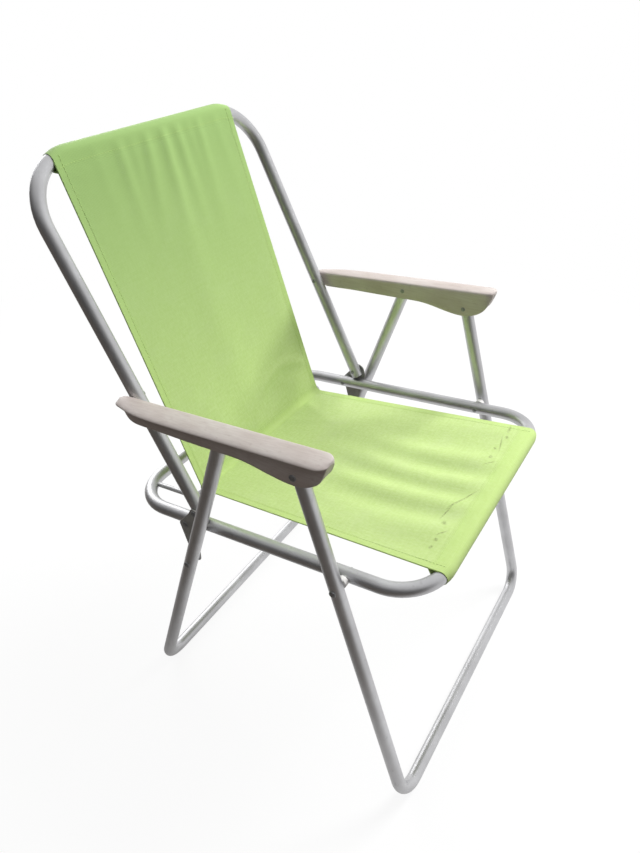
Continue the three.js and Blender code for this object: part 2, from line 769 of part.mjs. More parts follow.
// Stations along one panel, then round its bar until the sleeve nearly closes
function panelStations(start, direction, facing, bar, spread, sag, fold, wrapSign) {
  const touch = step(bar, facing, barSleeve);
  const length = touch.clone().sub(start).dot(direction);
  const stations = [];
  for (let r = 0; r < clothRows; r += 1) {
    const share = r / clothRows;
    const bulge = 4 * share * (1 - share);
    stations.push({
      point: step(start, direction, length * share),
      facing,
      halfWidth: THREE.MathUtils.lerp(spread[0], spread[1], share),
      sag: sag * bulge,
      fold: fold * bulge * share,
    });
  }
  const begin = facing.angle();
  const sweep = 2 * Math.PI - sleeveOpening;
  for (let r = 0; r <= sleeveRows; r += 1) {
    const outward = polar(begin + (wrapSign * sweep * r) / sleeveRows, 1);
    stations.push({
      point: step(bar, outward, barSleeve),
      facing: outward,
      halfWidth: spread[1],
      sag: 0,
      fold: 0,
      onBar: true,
    });
  }
  return stations;
}

// Stations of the sleeve round the crease rod, from its free edge to where the seat leaves it
function rodStations() {
  const stations = [];
  const begin = seatFacing.angle();
  const sweep = 2 * Math.PI - 2 * sleeveOpening - creaseHalfAngle;
  for (let r = sleeveRows; r >= 0; r -= 1) {
    const outward = polar(begin - (sweep * r) / sleeveRows, 1);
    stations.push({
      point: step(rod, outward, rodSleeve),
      facing: outward,
      halfWidth: slingCreaseHalfWidth,
      sag: 0,
      fold: 0,
    });
  }
  return stations;
}

function seatSling() {
  const start = step(rod, seatFacing, rodSleeve);
  const spread = [slingCreaseHalfWidth, slingFrontHalfWidth];
  const panel = panelStations(start, seatDirection, seatFacing, frontBar, spread, seatSag, 0, 1);
  const bend = barBend(railX - frontBendRadius, frontBendRadius, bendSteps, railBack);
  const shares = columnShares(bend, slingFrontHalfWidth, clothColumns - 1);
  return clothSheet([...rodStations(), ...panel.slice(1)], shares, bend);
}

function backSling() {
  const start = step(crease, backDirection, 2 * clothThickness + gap);
  const spread = [slingCreaseHalfWidth, slingTopHalfWidth];
  const stations = panelStations(start, backDirection, backFacing, topBar, spread, backSag, foldDepth, -1);
  const bendStart = backHalfWidth - backBendRadius;
  const bend = barBend(bendStart, backBendRadius, bendSteps + 1, backUp.clone().negate());
  const shares = columnShares(bend, slingTopHalfWidth, clothColumns);
  return clothSheet(stations.reverse(), shares, bend);
}

addPiece('seat_sling', seatSling(), meshCloth);
addPiece('back_sling', backSling(), meshCloth);

// The origin is on the ground, at the middle of the chair's footprint
const bounds = new THREE.Box3().setFromObject(chair);
const centre = bounds.getCenter(new THREE.Vector3());
chair.position.set(0, -centre.y, 0);
chair.updateMatrixWorld(true);

export default chair;
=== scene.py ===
"""Looks of the folding mesh-sling lawn chair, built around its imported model."""

from __future__ import annotations

import logging
import math
from collections import Counter
from dataclasses import dataclass, field
from enum import Enum
from typing import Any, Iterable, Sequence

import bmesh
import bpy
import numpy as np
from mathutils import Matrix, Vector

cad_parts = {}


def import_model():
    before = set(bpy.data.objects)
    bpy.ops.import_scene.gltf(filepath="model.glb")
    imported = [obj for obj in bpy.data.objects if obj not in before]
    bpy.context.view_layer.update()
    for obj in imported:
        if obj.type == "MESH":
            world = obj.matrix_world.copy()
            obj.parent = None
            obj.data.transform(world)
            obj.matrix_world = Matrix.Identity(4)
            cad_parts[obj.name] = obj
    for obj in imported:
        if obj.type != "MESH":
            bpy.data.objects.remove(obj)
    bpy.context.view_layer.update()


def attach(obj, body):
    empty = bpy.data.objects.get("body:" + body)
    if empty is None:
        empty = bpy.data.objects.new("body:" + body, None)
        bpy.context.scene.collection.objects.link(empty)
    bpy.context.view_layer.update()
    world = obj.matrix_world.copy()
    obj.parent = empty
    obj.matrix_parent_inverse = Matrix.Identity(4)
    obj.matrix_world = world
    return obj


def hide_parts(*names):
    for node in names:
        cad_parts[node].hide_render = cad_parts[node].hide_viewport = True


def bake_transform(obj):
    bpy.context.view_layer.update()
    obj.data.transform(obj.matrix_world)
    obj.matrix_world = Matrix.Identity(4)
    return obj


MM = 0.001
# How far the seat's start lies along the cloth from the front seam, in millimetres
SEAT_START = 56.3
# Where the crease and the top bar lie along the cloth, in metres from the front seam
CREASE_PLACE = 0.42
TOP_PLACE = 0.88
# The cloth's map is shifted along X by this many millimetres, so that it is never negative
MAP_MIDDLE = 200.0
# Scuffs of the seat: X, distance behind the front bar, half length, half width, and turn in degrees
SCUFFS = (
    (149.0, 27.5, 5.5, 1.3, 4.0),
    (128.0, 24.0, 2.2, 1.4, 30.0),
    (110.0, 27.0, 11.0, 0.7, 12.0),
    (97.0, 30.5, 2.0, 1.2, 60.0),
    (74.0, 29.0, 2.4, 1.7, 20.0),
    (60.0, 24.5, 5.0, 0.6, -50.0),
    (-19.0, 24.5, 9.0, 0.8, -28.0),
    (-37.0, 32.0, 12.0, 1.0, -24.0),
    (-60.0, 38.0, 8.0, 0.7, -12.0),
    (-81.0, 31.3, 2.6, 2.0, 40.0),
    (-101.0, 26.0, 5.0, 0.6, -40.0),
    (-114.6, 28.0, 2.0, 1.5, 10.0),
    (-128.4, 28.3, 2.2, 1.3, -15.0),
)
# Pulls of the seat near the crease: X at the crease, lean, and width
SEAT_PULLS = ((-70, 0.35, 9), (-10, -0.2, 11), (48, 0.5, 8), (104, -0.45, 9))
# Folds that fall from the top sleeve: X at the sleeve, lean, and depth
BACK_FOLDS = (
    (-101, -0.03, 0.7),
    (-63, -0.04, 2.0),
    (-39, -0.1, 0.8),
    (-13, -0.2, 2.4),
    (17, -0.08, 3.2),
    (44, -0.02, 2.4),
    (66, 0.03, 0.7),
    (87, -0.06, 1.9),
    (124, 0.04, 0.6),
)
Point = tuple[float, float]
Socket = bpy.types.NodeSocket
Stops = tuple[tuple[float, int], ...]

log = logging.getLogger("lawn_chair")


class Side(Enum):
    """The two sides of the chair, by the sign of their X."""

    LEFT = -1
    RIGHT = 1

    @property
    def label(self) -> str:
        """The side's name as the model writes it."""
        return self.name.lower()


def linear(hex_code: int) -> tuple[float, float, float, float]:
    """Turns an sRGB hex colour into linear light.

    Args:
        hex_code: the colour, such as 0xB4DC78.

    Returns:
        Red, green and blue in linear light, and an opacity of 1.
    """

    def channel(value: int) -> float:
        """One channel from 0 to 255 in linear light."""
        share = value / 255
        return share / 12.92 if share <= 0.04045 else ((share + 0.055) / 1.055) ** 2.4

    return (
        channel(hex_code >> 16 & 255),
        channel(hex_code >> 8 & 255),
        channel(hex_code & 255),
        1.0,
    )


def add_node(
    tree: bpy.types.NodeTree,
    kind: str,
    inputs: dict[str | int, Any] | None = None,
    stops: Stops = (),
    **settings: Any,
) -> bpy.types.Node:
    """Adds a node, sets its properties, and fills or links its inputs.

    Args:
        tree: the shader or geometry tree.
        kind: the node's type name.
        inputs: input name or index to a value or to another node's output.
        stops: places and hex colours, where the node is a colour ramp.
        settings: properties of the node itself.

    Returns:
        The new node.
    """
    node = tree.nodes.new(kind)
    for name, value in settings.items():
        setattr(node, name, value)
    for name, value in (inputs or {}).items():
        socket = node.inputs[name]
        if isinstance(value, bpy.types.NodeSocket):
            tree.links.new(value, socket)
        else:
            socket.default_value = value
    if stops:
        elements = node.color_ramp.elements
        while len(elements) < len(stops):
            elements.new(1.0)
        for element, (place, colour) in zip(elements, stops):
            element.position = place
            element.color = linear(colour)
    return node


@dataclass(frozen=True)
class Finish:
    """A finish of the chair, dressed as a procedural material.

    Args:
        name: what the real material is.
        slot: the record's material slot. It is not used.
        tones: the finish's own colours, from low to high in its main pattern.
        rough: the roughness at the two ends of a pattern.
        metallic: how far it is bare or flaked metal.
        raggedness: how strongly the finer layers of its cloudy patterns show.
    """

    name: str
    slot: str
    tones: Stops = ()
    rough: tuple[float, float] = (0.5, 0.5)
    metallic: float = 0.0
    raggedness: float = 0.55

    def material(self) -> bpy.types.Material:
        """Returns the finish's material, made on its first use."""
        found = bpy.data.materials.get(self.name)
        if found:
            return found
        made = bpy.data.materials.new(self.name)
        made.use_nodes = True
        tree = made.node_tree
        tree.nodes.clear()
        shader = add_node(tree, "ShaderNodeBsdfPrincipled", {"Metallic": self.metallic})
        add_node(tree, "ShaderNodeOutputMaterial", {"Surface": shader.outputs[0]})
        self.dress(tree, shader)
        return made

    def dress(self, tree: bpy.types.NodeTree, shader: bpy.types.Node) -> None:
        """Fills in the shader. Each finish has its own."""
        raise NotImplementedError

    def place(self, tree: bpy.types.NodeTree) -> Socket:
        """The point on the piece, in metres, in the chair's frame."""
        return add_node(tree, "ShaderNodeTexCoord").outputs["Object"]

    def lumps(
        self,
        tree: bpy.types.NodeTree,
        size_mm: float,
        detail: float,
        stretch: Sequence[float] = (1, 1, 1),
    ) -> Socket:
        """A cloudy pattern whose lumps are about a real size across.

        Args:
            tree: the material's tree.
            size_mm: the lumps' size in millimetres.
            detail: how many finer layers it has.
            stretch: how much each axis is pressed together.

        Returns:
            A value from 0 to 1.
        """
        scaled = add_node(
            tree, "ShaderNodeMapping", {"Vector": self.place(tree), "Scale": tuple(stretch)}
        )
        texture = add_node(
            tree,
            "ShaderNodeTexNoise",
            {
                "Vector": scaled.outputs[0],
                "Scale": 1 / (size_mm * MM),
                "Detail": detail,
                "Roughness": self.raggedness,
            },
        )
        return texture.outputs[0]

    def toned(self, tree: bpy.types.NodeTree, pattern: Socket) -> Socket:
        """The finish's own tones, laid through a pattern from 0 to 1."""
        return add_node(tree, "ShaderNodeValToRGB", {"Fac": pattern}, stops=self.tones).outputs[0]

    def overlaid(
        self,
        tree: bpy.types.NodeTree,
        colour: Socket,
        pattern: Socket,
        edges: tuple[float, float],
        share: float,
        tint: int,
    ) -> Socket:
        """Lays a second colour over a first one where a pattern is high.

        Args:
            tree: the material's tree.
            colour: the colour below.
            pattern: a value from 0 to 1.
            edges: the values at which the second colour starts and is full.
            share: how far it hides the first one where it is full.
            tint: the second colour, as a hex code.

        Returns:
            The colour.
        """
        mask = add_node(
            tree,
            "ShaderNodeValToRGB",
            {"Fac": pattern},
            stops=((edges[0], 0x000000), (edges[1], 0xFFFFFF)),
        )
        weak = add_node(tree, "ShaderNodeMath", {0: mask.outputs[0], 1: share}, operation="MULTIPLY")
        laid = add_node(
            tree, "ShaderNodeMix", {0: weak.outputs[0], 6: colour, 7: linear(tint)}, data_type="RGBA"
        )
        return laid.outputs[2]

    def link_surface(
        self,
        tree: bpy.types.NodeTree,
        shader: bpy.types.Node,
        colour: Socket,
        dulling: Socket,
        height: Socket,
        depth_mm: float,
    ) -> None:
        """Links a surface's colour, roughness and relief to its shader.

        Args:
            tree: the material's tree.
            shader: the shader.
            colour: the colour.
            dulling: the pattern that the roughness follows, from 0 to 1.
            height: the pattern that the relief follows, from 0 to 1.
            depth_mm: the relief's real depth in millimetres.
        """
        low, high = self.rough
        roughness = add_node(
            tree, "ShaderNodeMapRange", {"Value": dulling, "To Min": low, "To Max": high}
        )
        relief = add_node(
            tree, "ShaderNodeBump", {"Height": height, "Distance": depth_mm * MM, "Strength": 1.0}
        )
        tree.links.new(colour, shader.inputs["Base Color"])
        tree.links.new(roughness.outputs[0], shader.inputs["Roughness"])
        tree.links.new(relief.outputs[0], shader.inputs["Normal"])


@dataclass(frozen=True)
class CoatedTube(Finish):
    """Silver-grey stove enamel on drawn steel tube.

    Args:
        cloud_mm: size of its faint clouds.
        patch_mm: size of its rubbed patches.
        peel_mm: distance from lump to lump of the enamel's orange peel.
        peel_depth_mm: depth of the orange peel, a hundredth of a millimetre or so.
    """

    tones: Stops = ((0.3, 0xBEBEC0), (0.55, 0xCBCBCD), (0.75, 0xD6D7D9))
    rough: tuple[float, float] = (0.38, 0.46)
    metallic: float = 0.85
    cloud_mm: float = 55.0
    patch_mm: float = 5.0
    peel_mm: float = 0.8
    peel_depth_mm: float = 0.012

    def dress(self, tree: bpy.types.NodeTree, shader: bpy.types.Node) -> None:
        """Satin aluminium paint: broad soft shading, faint clouds, and rubbed duller patches."""
        clouds = self.lumps(tree, self.cloud_mm, 4)
        rubbed = self.lumps(tree, self.patch_mm, 5, (1, 1, 0.35))
        colour = self.overlaid(tree, self.toned(tree, clouds), rubbed, (0.62, 0.72), 0.16, 0x77726D)
        peel = self.lumps(tree, self.peel_mm, 1)
        self.link_surface(tree, shader, colour, clouds, peel, self.peel_depth_mm)


@dataclass(frozen=True)
class ZincPlate(Finish):
    """Dull zinc plate on pressed rivets and washers.

    Args:
        cloud_mm: size of the dull clouds and of the hammer marks.
        mark_depth_mm: depth of the hammer marks.
    """

    tones: Stops = ((0.3, 0x7E7F80), (0.6, 0x9A9B9D), (0.8, 0xB2B4B6))
    rough: tuple[float, float] = (0.35, 0.5)
    metallic: float = 0.65
    cloud_mm: float = 2.5
    mark_depth_mm: float = 0.08

    def dress(self, tree: bpy.types.NodeTree, shader: bpy.types.Node) -> None:
        """Bluish-grey metal with cloudy dulling and small hammer marks."""
        clouds = self.lumps(tree, self.cloud_mm, 4)
        colour = self.toned(tree, clouds)
        self.link_surface(tree, shader, colour, clouds, clouds, self.mark_depth_mm)


@dataclass(frozen=True)
class PressedSteel(Finish):
    """Blanked steel plate of the side brackets, grey and dull.

    Args:
        stain_mm: size of its stains.
        mark_mm: distance between its rolling marks.
        mark_depth_mm: their depth.
    """

    tones: Stops = ((0.3, 0x969590), (0.55, 0xA9A8A4), (0.75, 0xB6B5B1))
    rough: tuple[float, float] = (0.42, 0.58)
    metallic: float = 0.1
    stain_mm: float = 14.0
    mark_mm: float = 0.6
    mark_depth_mm: float = 0.02

    def dress(self, tree: bpy.types.NodeTree, shader: bpy.types.Node) -> None:
        """Mid-grey plate that mirrors little, with stained patches and rolling marks along it."""
        stains = self.lumps(tree, self.stain_mm, 5)
        marks = self.lumps(tree, self.mark_mm, 2, (1, 0.12, 1))
        colour = self.toned(tree, stains)
        self.link_surface(tree, shader, colour, stains, marks, self.mark_depth_mm)


@dataclass(frozen=True)
class ArmPlastic(Finish):
    """Injection-moulded polypropylene of the armrests, off-white and weathered.

    Args:
        cloud_mm: size of its faint clouds.
        grime_mm: size of its spots of grime.
        scratch_mm: distance between the thin scratches that run along it.
        grain_mm: distance from lump to lump of the mould's grain.
        grain_depth_mm: depth of the grain.
    """

    tones: Stops = ((0.3, 0xC3B7B1), (0.5, 0xCEC4BF), (0.72, 0xD7D0CB))
    rough: tuple[float, float] = (0.42, 0.58)
    cloud_mm: float = 26.0
    grime_mm: float = 4.5
    scratch_mm: float = 2.2
    grain_mm: float = 0.9
    grain_depth_mm: float = 0.02

    def dress(self, tree: bpy.types.NodeTree, shader: bpy.types.Node) -> None:
        """Warm pinkish off-white, faintly streaked along its length, with a fine moulded grain."""
        clouds = self.lumps(tree, self.cloud_mm, 4, (1, 0.4, 1))
        grime = self.lumps(tree, self.grime_mm, 6, (1, 0.55, 1))
        scratches = self.lumps(tree, self.scratch_mm, 2, (1, 0.05, 1))
        grain = self.lumps(tree, self.grain_mm, 2)
        colour = self.overlaid(tree, self.toned(tree, clouds), grime, (0.58, 0.74), 0.28, 0xA6968F)
        colour = self.overlaid(tree, colour, scratches, (0.42, 0.7), 0.26, 0xAE9E98)
        self.link_surface(tree, shader, colour, grime, grain, self.grain_depth_mm)
        shader.inputs["IOR"].default_value = 1.49


@dataclass(frozen=True)
class SpacerPlastic(Finish):
    """White moulded nylon of the spacers."""

    tones: Stops = ((0.35, 0xEDEBE8), (0.7, 0xF7F6F4))

    def dress(self, tree: bpy.types.NodeTree, shader: bpy.types.Node) -> None:
        """Bright smooth white with a faint warm cloud."""
        clouds = self.lumps(tree, 3, 3)
        tree.links.new(self.toned(tree, clouds), shader.inputs["Base Color"])
        shader.inputs["Roughness"].default_value = 0.4
        shader.inputs["IOR"].default_value = 1.53


@dataclass(frozen=True)
class MeshCloth(Finish):
    """Vinyl-coated polyester mesh: coated yarns with small open holes between them.

    The cloth's own map is in metres. Its `layers` attribute is 1 where the cloth is doubled.

    Args:
        pitch_mm: the yarn spacing as drawn.
        hole: height of the weave, from 0 to 1, under which it is open.
        weave_depth_mm: depth of the hollows between the yarns.
        dark: colour of those hollows, painted as shade, and the tint of the yarns' faint streaks.
        yarn: colour of the yarn.
        pale: colour of the yarn where it catches the light.
        doubled: colour where two layers lie on each other.
        dusty: colour of dusty spots.
        used: colour of the painted shade that darkens the back towards its top.
        scuff: colour of the scuffs.
    """

    rough: tuple[float, float] = (0.62, 0.5)
    raggedness: float = 0.6
    # The real yarns are about 1.3 mm apart, under one pixel of the picture, so they are drawn coarser
    pitch_mm: float = 2.0
    hole: float = 0.16
    weave_depth_mm: float = 0.07
    dark: int = 0xC4DA8C
    yarn: int = 0xD3EA9D
    pale: int = 0xDDF2AB
    doubled: int = 0xC0DC80
    dusty: int = 0xE0EBC0
    used: int = 0xAACD80
    scuff: int = 0x66743E

    def place(self, tree: bpy.types.NodeTree) -> Socket:
        """The point on the cloth's own map, in metres."""
        return add_node(tree, "ShaderNodeUVMap", uv_map="cloth").outputs[0]

    def dress(self, tree: bpy.types.NodeTree, shader: bpy.types.Node) -> None:
        """Lime cloth with a fine open weave, deeper hems, dusty spots, a few scuffs near the front, and
        painted shade towards the top of the back.
        """
        layers = add_node(tree, "ShaderNodeAttribute", attribute_name="layers").outputs["Fac"]
        grain = self.weave(tree)
        # The weave's hollows get painted shade and the yarns' tops a painted highlight
        tones = ((0.1, self.dark), (0.55, self.yarn), (1.0, self.pale))
        colour = add_node(tree, "ShaderNodeValToRGB", {"Fac": grain}, stops=tones).outputs[0]
        # Yarns differ a little from each other, so faint streaks run down and across the cloth
        for stretch in ((1, 0.1, 1), (0.1, 1, 1)):
            streaks = self.lumps(tree, 2.6, 2, stretch)
            colour = self.overlaid(tree, colour, streaks, (0.35, 0.7), 0.45, self.dark)
        mottled = self.lumps(tree, 3.2, 3, (1, 0.6, 1))
        colour = self.overlaid(tree, colour, mottled, (0.45, 0.62), 0.4, self.doubled)
        spots = self.lumps(tree, 60, 4)
        colour = self.overlaid(tree, colour, spots, (0.5, 0.75), 0.2, self.dusty)
        colour = self.overlaid(tree, colour, layers, (0.0, 1.0), 0.4, self.doubled)
        # Painted shade darkens the back from the crease towards its top
        colour = self.darkened(tree, colour)
        colour = self.scuffed(tree, colour)
        self.link_surface(tree, shader, colour, grain, grain, self.weave_depth_mm)
        # A hole shows light through it, except where a second layer lies behind it
        thread = add_node(tree, "ShaderNodeMath", {0: grain, 1: self.hole}, operation="GREATER_THAN")
        covered = add_node(
            tree, "ShaderNodeMath", {0: thread.outputs[0], 1: layers}, operation="MAXIMUM"
        )
        tree.links.new(covered.outputs[0], shader.inputs["Alpha"])
        shader.inputs["Sheen Weight"].default_value = 0.05
        shader.inputs["Specular IOR Level"].default_value = 0.22
        shader.inputs["IOR"].default_value = 1.45

    def weave(self, tree: bpy.types.NodeTree) -> Socket:
        """The height of the weave: bands one yarn apart, both ways, and the higher of the two."""
        bands = [
            add_node(
                tree,
                "ShaderNodeTexWave",
                {
                    "Vector": self.place(tree),
                    "Scale": math.pi / 10 / (self.pitch_mm * MM),
                    "Distortion": 0.0,
                },
                bands_direction=direction,
            ).outputs["Fac"]
            for direction in ("X", "Y")
        ]
        higher = add_node(tree, "ShaderNodeMath", {0: bands[0], 1: bands[1]}, operation="MAXIMUM")
        return higher.outputs[0]

    def darkened(self, tree: bpy.types.NodeTree, colour: Socket) -> Socket:
        """The colour, with painted shade that darkens it from the crease up to the top of the back."""
        along = add_node(tree, "ShaderNodeSeparateXYZ", {"Vector": self.place(tree)}).outputs[1]
        shade_and_wear = add_node(
            tree,
            "ShaderNodeMapRange",
            {
                "Value": along,
                "From Min": CREASE_PLACE,
                "From Max": TOP_PLACE,
                "To Min": 0.1,
                "To Max": 1.0,
            },
        )
        laid = add_node(
            tree, "ShaderNodeMix", {0: shade_and_wear.outputs[0], 6: colour, 7: linear(self.used)}, data_type="RGBA"
        )
        return laid.outputs[2]

    def scuffed(self, tree: bpy.types.NodeTree, colour: Socket) -> Socket:
        """The colour, with the scuffs that rubbing has left behind the front bar."""
        place = self.place(tree)
        ragged = add_node(
            tree,
            "ShaderNodeMapRange",
            {"Value": self.lumps(tree, 2.4, 4), "To Min": -1.5, "To Max": 2.7},
        )
        marks: Socket | None = None
        for x, behind, half_length, half_width, lean in SCUFFS:
            local = add_node(
                tree,
                "ShaderNodeMapping",
                {
                    "Vector": place,
                    "Location": ((x + MAP_MIDDLE) * MM, (SEAT_START + behind) * MM, 0.0),
                    "Rotation": (0.0, 0.0, math.radians(lean)),
                    "Scale": (half_length * MM, half_width * MM, 1.0),
                },
                vector_type="TEXTURE",
            )
            away = add_node(
                tree, "ShaderNodeVectorMath", {0: local.outputs[0]}, operation="LENGTH"
            ).outputs["Value"]
            near = add_node(
                tree,
                "ShaderNodeMapRange",
                {"Value": away, "From Min": 0.4, "From Max": 2.1, "To Min": 1.0, "To Max": 0.0},
            ).outputs[0]
            if marks is None:
                marks = near
                continue
            marks = add_node(
                tree, "ShaderNodeMath", {0: marks, 1: near}, operation="MAXIMUM"
            ).outputs[0]
        shade_and_wear = add_node(
            tree,
            "ShaderNodeMath",
            {0: marks, 1: ragged.outputs[0]},
            operation="MULTIPLY",
            use_clamp=True,
        )
        return self.overlaid(tree, colour, shade_and_wear.outputs[0], (0.0, 1.0), 0.75, self.scuff)


@dataclass(frozen=True)
class SewingThread(Finish):
    """Twisted polyester sewing thread, a little paler than the cloth."""

    tones: Stops = ((0.3, 0xB8D67C), (0.7, 0xDCEEA8))

    def dress(self, tree: bpy.types.NodeTree, shader: bpy.types.Node) -> None:
        """Soft lime thread with fibres that vary in tone."""
        fibres = self.lumps(tree, 0.7, 2)
        tree.links.new(self.toned(tree, fibres), shader.inputs["Base Color"])
        shader.inputs["Roughness"].default_value = 0.7


TUBE_FINISH = CoatedTube("stove_enamelled_tube", "frame_coat")
ZINC_FINISH = ZincPlate("zinc_plated_steel", "plated_steel")
BRACKET_FINISH = PressedSteel("pressed_steel_plate", "bracket_steel")
ARM_FINISH = ArmPlastic("moulded_polypropylene", "arm_plastic")
SPACER_FINISH = SpacerPlastic("moulded_nylon", "white_plastic")
CLOTH_FINISH = MeshCloth("vinyl_coated_polyester_mesh", "mesh_cloth")
# The hems are a second layer of the same cloth, so their green is deeper
HEM_FINISH = MeshCloth(
    "hemmed_polyester_mesh", "mesh_cloth", dark=0xB0CC70, yarn=0xC0DC80, pale=0xCCE690
)
THREAD_FINISH = SewingThread("polyester_thread", "mesh_cloth")


def new_object(name: str, mesh: bpy.types.Mesh, finish: Finish | None = None) -> bpy.types.Object:
    """Puts a mesh in the scene as a piece.

    Args:
        name: the piece's name.
        mesh: its mesh, in the chair's frame.
        finish: its finish, where the mesh has none yet.

    Returns:
        The new object.
    """
    mesh.name = name
    piece = bpy.data.objects.new(name, mesh)
    bpy.context.scene.collection.objects.link(piece)
    if finish is not None:
        mesh.materials.clear()
        mesh.materials.append(finish.material())
    return piece


def shade_smooth(mesh: bpy.types.Mesh) -> None:
    """Shades every face of a mesh smooth."""
    for polygon in mesh.polygons:
        polygon.use_smooth = True


def smooth(mesh: bpy.types.Mesh, angle_degrees: float = 35.0) -> None:
    """Shades a mesh smooth, with sharp edges past an angle."""
    shade_smooth(mesh)
    mesh.set_sharp_from_angle(angle=math.radians(angle_degrees))


def add_wall(piece: bpy.types.Object, name: str, thickness: float, offset: float) -> None:
    """Gives an open surface a wall. Its rims are kept sharp, so that they don't bend its shading.

    Args:
        piece: the piece.
        name: the modifier's name.
        thickness: the wall's thickness in millimetres.
        offset: -1 where the wall grows inwards, and 0 where it grows both ways.
    """
    uses = Counter(key for polygon in piece.data.polygons for key in polygon.edge_keys)
    for edge in piece.data.edges:
        if uses[edge.key] == 1:
            edge.use_edge_sharp = True
    shell = piece.modifiers.new(name, "SOLIDIFY")
    shell.thickness = thickness * MM
    shell.offset = offset


def side_to_world(x: float, point: Point) -> Vector:
    """A side-view point in millimetres, at a distance from the middle, in the chair's frame in metres."""
    return Vector((x, point[0], point[1])) * MM


class GrownMesh:
    """Runs a Geometry Nodes tree on a mesh and keeps the result as a plain mesh."""

    def __init__(self, name: str, inputs: dict[str, str]) -> None:
        """Starts a tree, whose last input is the material.

        Args:
            name: the tree's name.
            inputs: the kind of each of its sizes, such as Float, by name.
        """
        self.tree = bpy.data.node_groups.new(name, "GeometryNodeTree")
        face = self.tree.interface
        face.new_socket("Geometry", in_out="INPUT", socket_type="NodeSocketGeometry")
        for label, kind in {**inputs, "Material": "Material"}.items():
            face.new_socket(label, in_out="INPUT", socket_type=f"NodeSocket{kind}")
        face.new_socket("Geometry", in_out="OUTPUT", socket_type="NodeSocketGeometry")
        self.entry = add_node(self.tree, "NodeGroupInput")

    def add(self, kind: str, inputs: dict[str | int, Any] | None = None, **settings: Any) -> bpy.types.Node:
        """Adds a node to the tree."""
        return add_node(self.tree, kind, inputs, **settings)

    def attribute(self, name: str, data_type: str) -> Socket:
        """A named attribute of the geometry."""
        node = self.add("GeometryNodeInputNamedAttribute", {"Name": name}, data_type=data_type)
        return node.outputs[0]

    def stud(self, shape: Socket, scale: Socket | None = None) -> Socket:
        """Sets a small shape at each point of the seedling, along the point's own direction.

        Args:
            shape: the shape, along Z.
            scale: its scale at each point, where it has one.

        Returns:
            The shapes.
        """
        points = self.add("GeometryNodeMeshToPoints", {"Mesh": self.entry.outputs["Geometry"]})
        outward = self.attribute("outward", "FLOAT_VECTOR")
        turn = self.add("FunctionNodeAlignRotationToVector", {"Vector": outward}, axis="Z")
        inputs: dict[str | int, Any] = {
            "Points": points.outputs[0],
            "Instance": shape,
            "Rotation": turn.outputs[0],
        }
        if scale is not None:
            inputs["Scale"] = scale
        return self.add("GeometryNodeInstanceOnPoints", inputs).outputs[0]

    def close(self, geometry: Socket) -> None:
        """Ends the tree: instances are made real and the material is set."""
        real = self.add("GeometryNodeRealizeInstances", {"Geometry": geometry})
        material = self.entry.outputs["Material"]
        dressed = self.add(
            "GeometryNodeSetMaterial", {"Geometry": real.outputs[0], "Material": material}
        )
        self.add("NodeGroupOutput", {"Geometry": dressed.outputs[0]})

    def run(
        self, name: str, seedling: bpy.types.Mesh, finish: Finish, sizes: dict[str, Any]
    ) -> bpy.types.Object:
        """Grows a piece from a small mesh.

        Args:
            name: the piece's name.
            seedling: the points or edges to grow from.
            finish: the piece's finish.
            sizes: values of the tree's inputs, by name.

        Returns:
            The piece, with a plain mesh.
        """
        holder = new_object(name + "_seedling", seedling)
        modifier = holder.modifiers.new("grow", "NODES")
        modifier.node_group = self.tree
        values = {**sizes, "Material": finish.material()}
        for item in self.tree.interface.items_tree:
            if item.item_type == "SOCKET" and item.in_out == "INPUT" and item.name in values:
                modifier[item.identifier] = values[item.name]
        graph = bpy.context.evaluated_depsgraph_get()
        grown = bpy.data.meshes.new_from_object(holder.evaluated_get(graph))
        bpy.data.objects.remove(holder)
        piece = new_object(name, grown)
        return piece


def path_mesh(name: str, points: Sequence[Vector], bends: Sequence[float]) -> bpy.types.Mesh:
    """A line of edges with a bend radius at each of its points.

    Args:
        name: the mesh's name.
        points: the corners.
        bends: each corner's bend radius in metres.

    Returns:
        The mesh.
    """
    mesh = bpy.data.meshes.new(name)
    mesh.from_pydata(points, [(i, i + 1) for i in range(len(points) - 1)], [])
    attribute = mesh.attributes.new("bend_radius", "FLOAT", "POINT")
    attribute.data.foreach_set("value", list(bends))
    return mesh


def tube_tree() -> GrownMesh:
    """A tree that sweeps a round tube along a line whose corners are bent to a radius."""
    sizes = {"Radius": "Float", "Bend Steps": "Int", "Round Sides": "Int", "Capped": "Bool"}
    grown = GrownMesh("bent_tube", sizes)
    entry = grown.entry.outputs
    line = grown.add("GeometryNodeMeshToCurve", {"Mesh": entry["Geometry"]})
    bent = grown.add(
        "GeometryNodeFilletCurve",
        {
            "Curve": line.outputs[0],
            "Count": entry["Bend Steps"],
            "Radius": grown.attribute("bend_radius", "FLOAT"),
            "Limit Radius": False,
        },
        mode="POLY",
    )
    ring = grown.add(
        "GeometryNodeCurvePrimitiveCircle",
        {"Resolution": entry["Round Sides"], "Radius": entry["Radius"]},
    )
    swept = grown.add(
        "GeometryNodeCurveToMesh",
        {"Curve": bent.outputs[0], "Profile Curve": ring.outputs[0], "Fill Caps": entry["Capped"]},
    )
    grown.close(swept.outputs[0])
    return grown


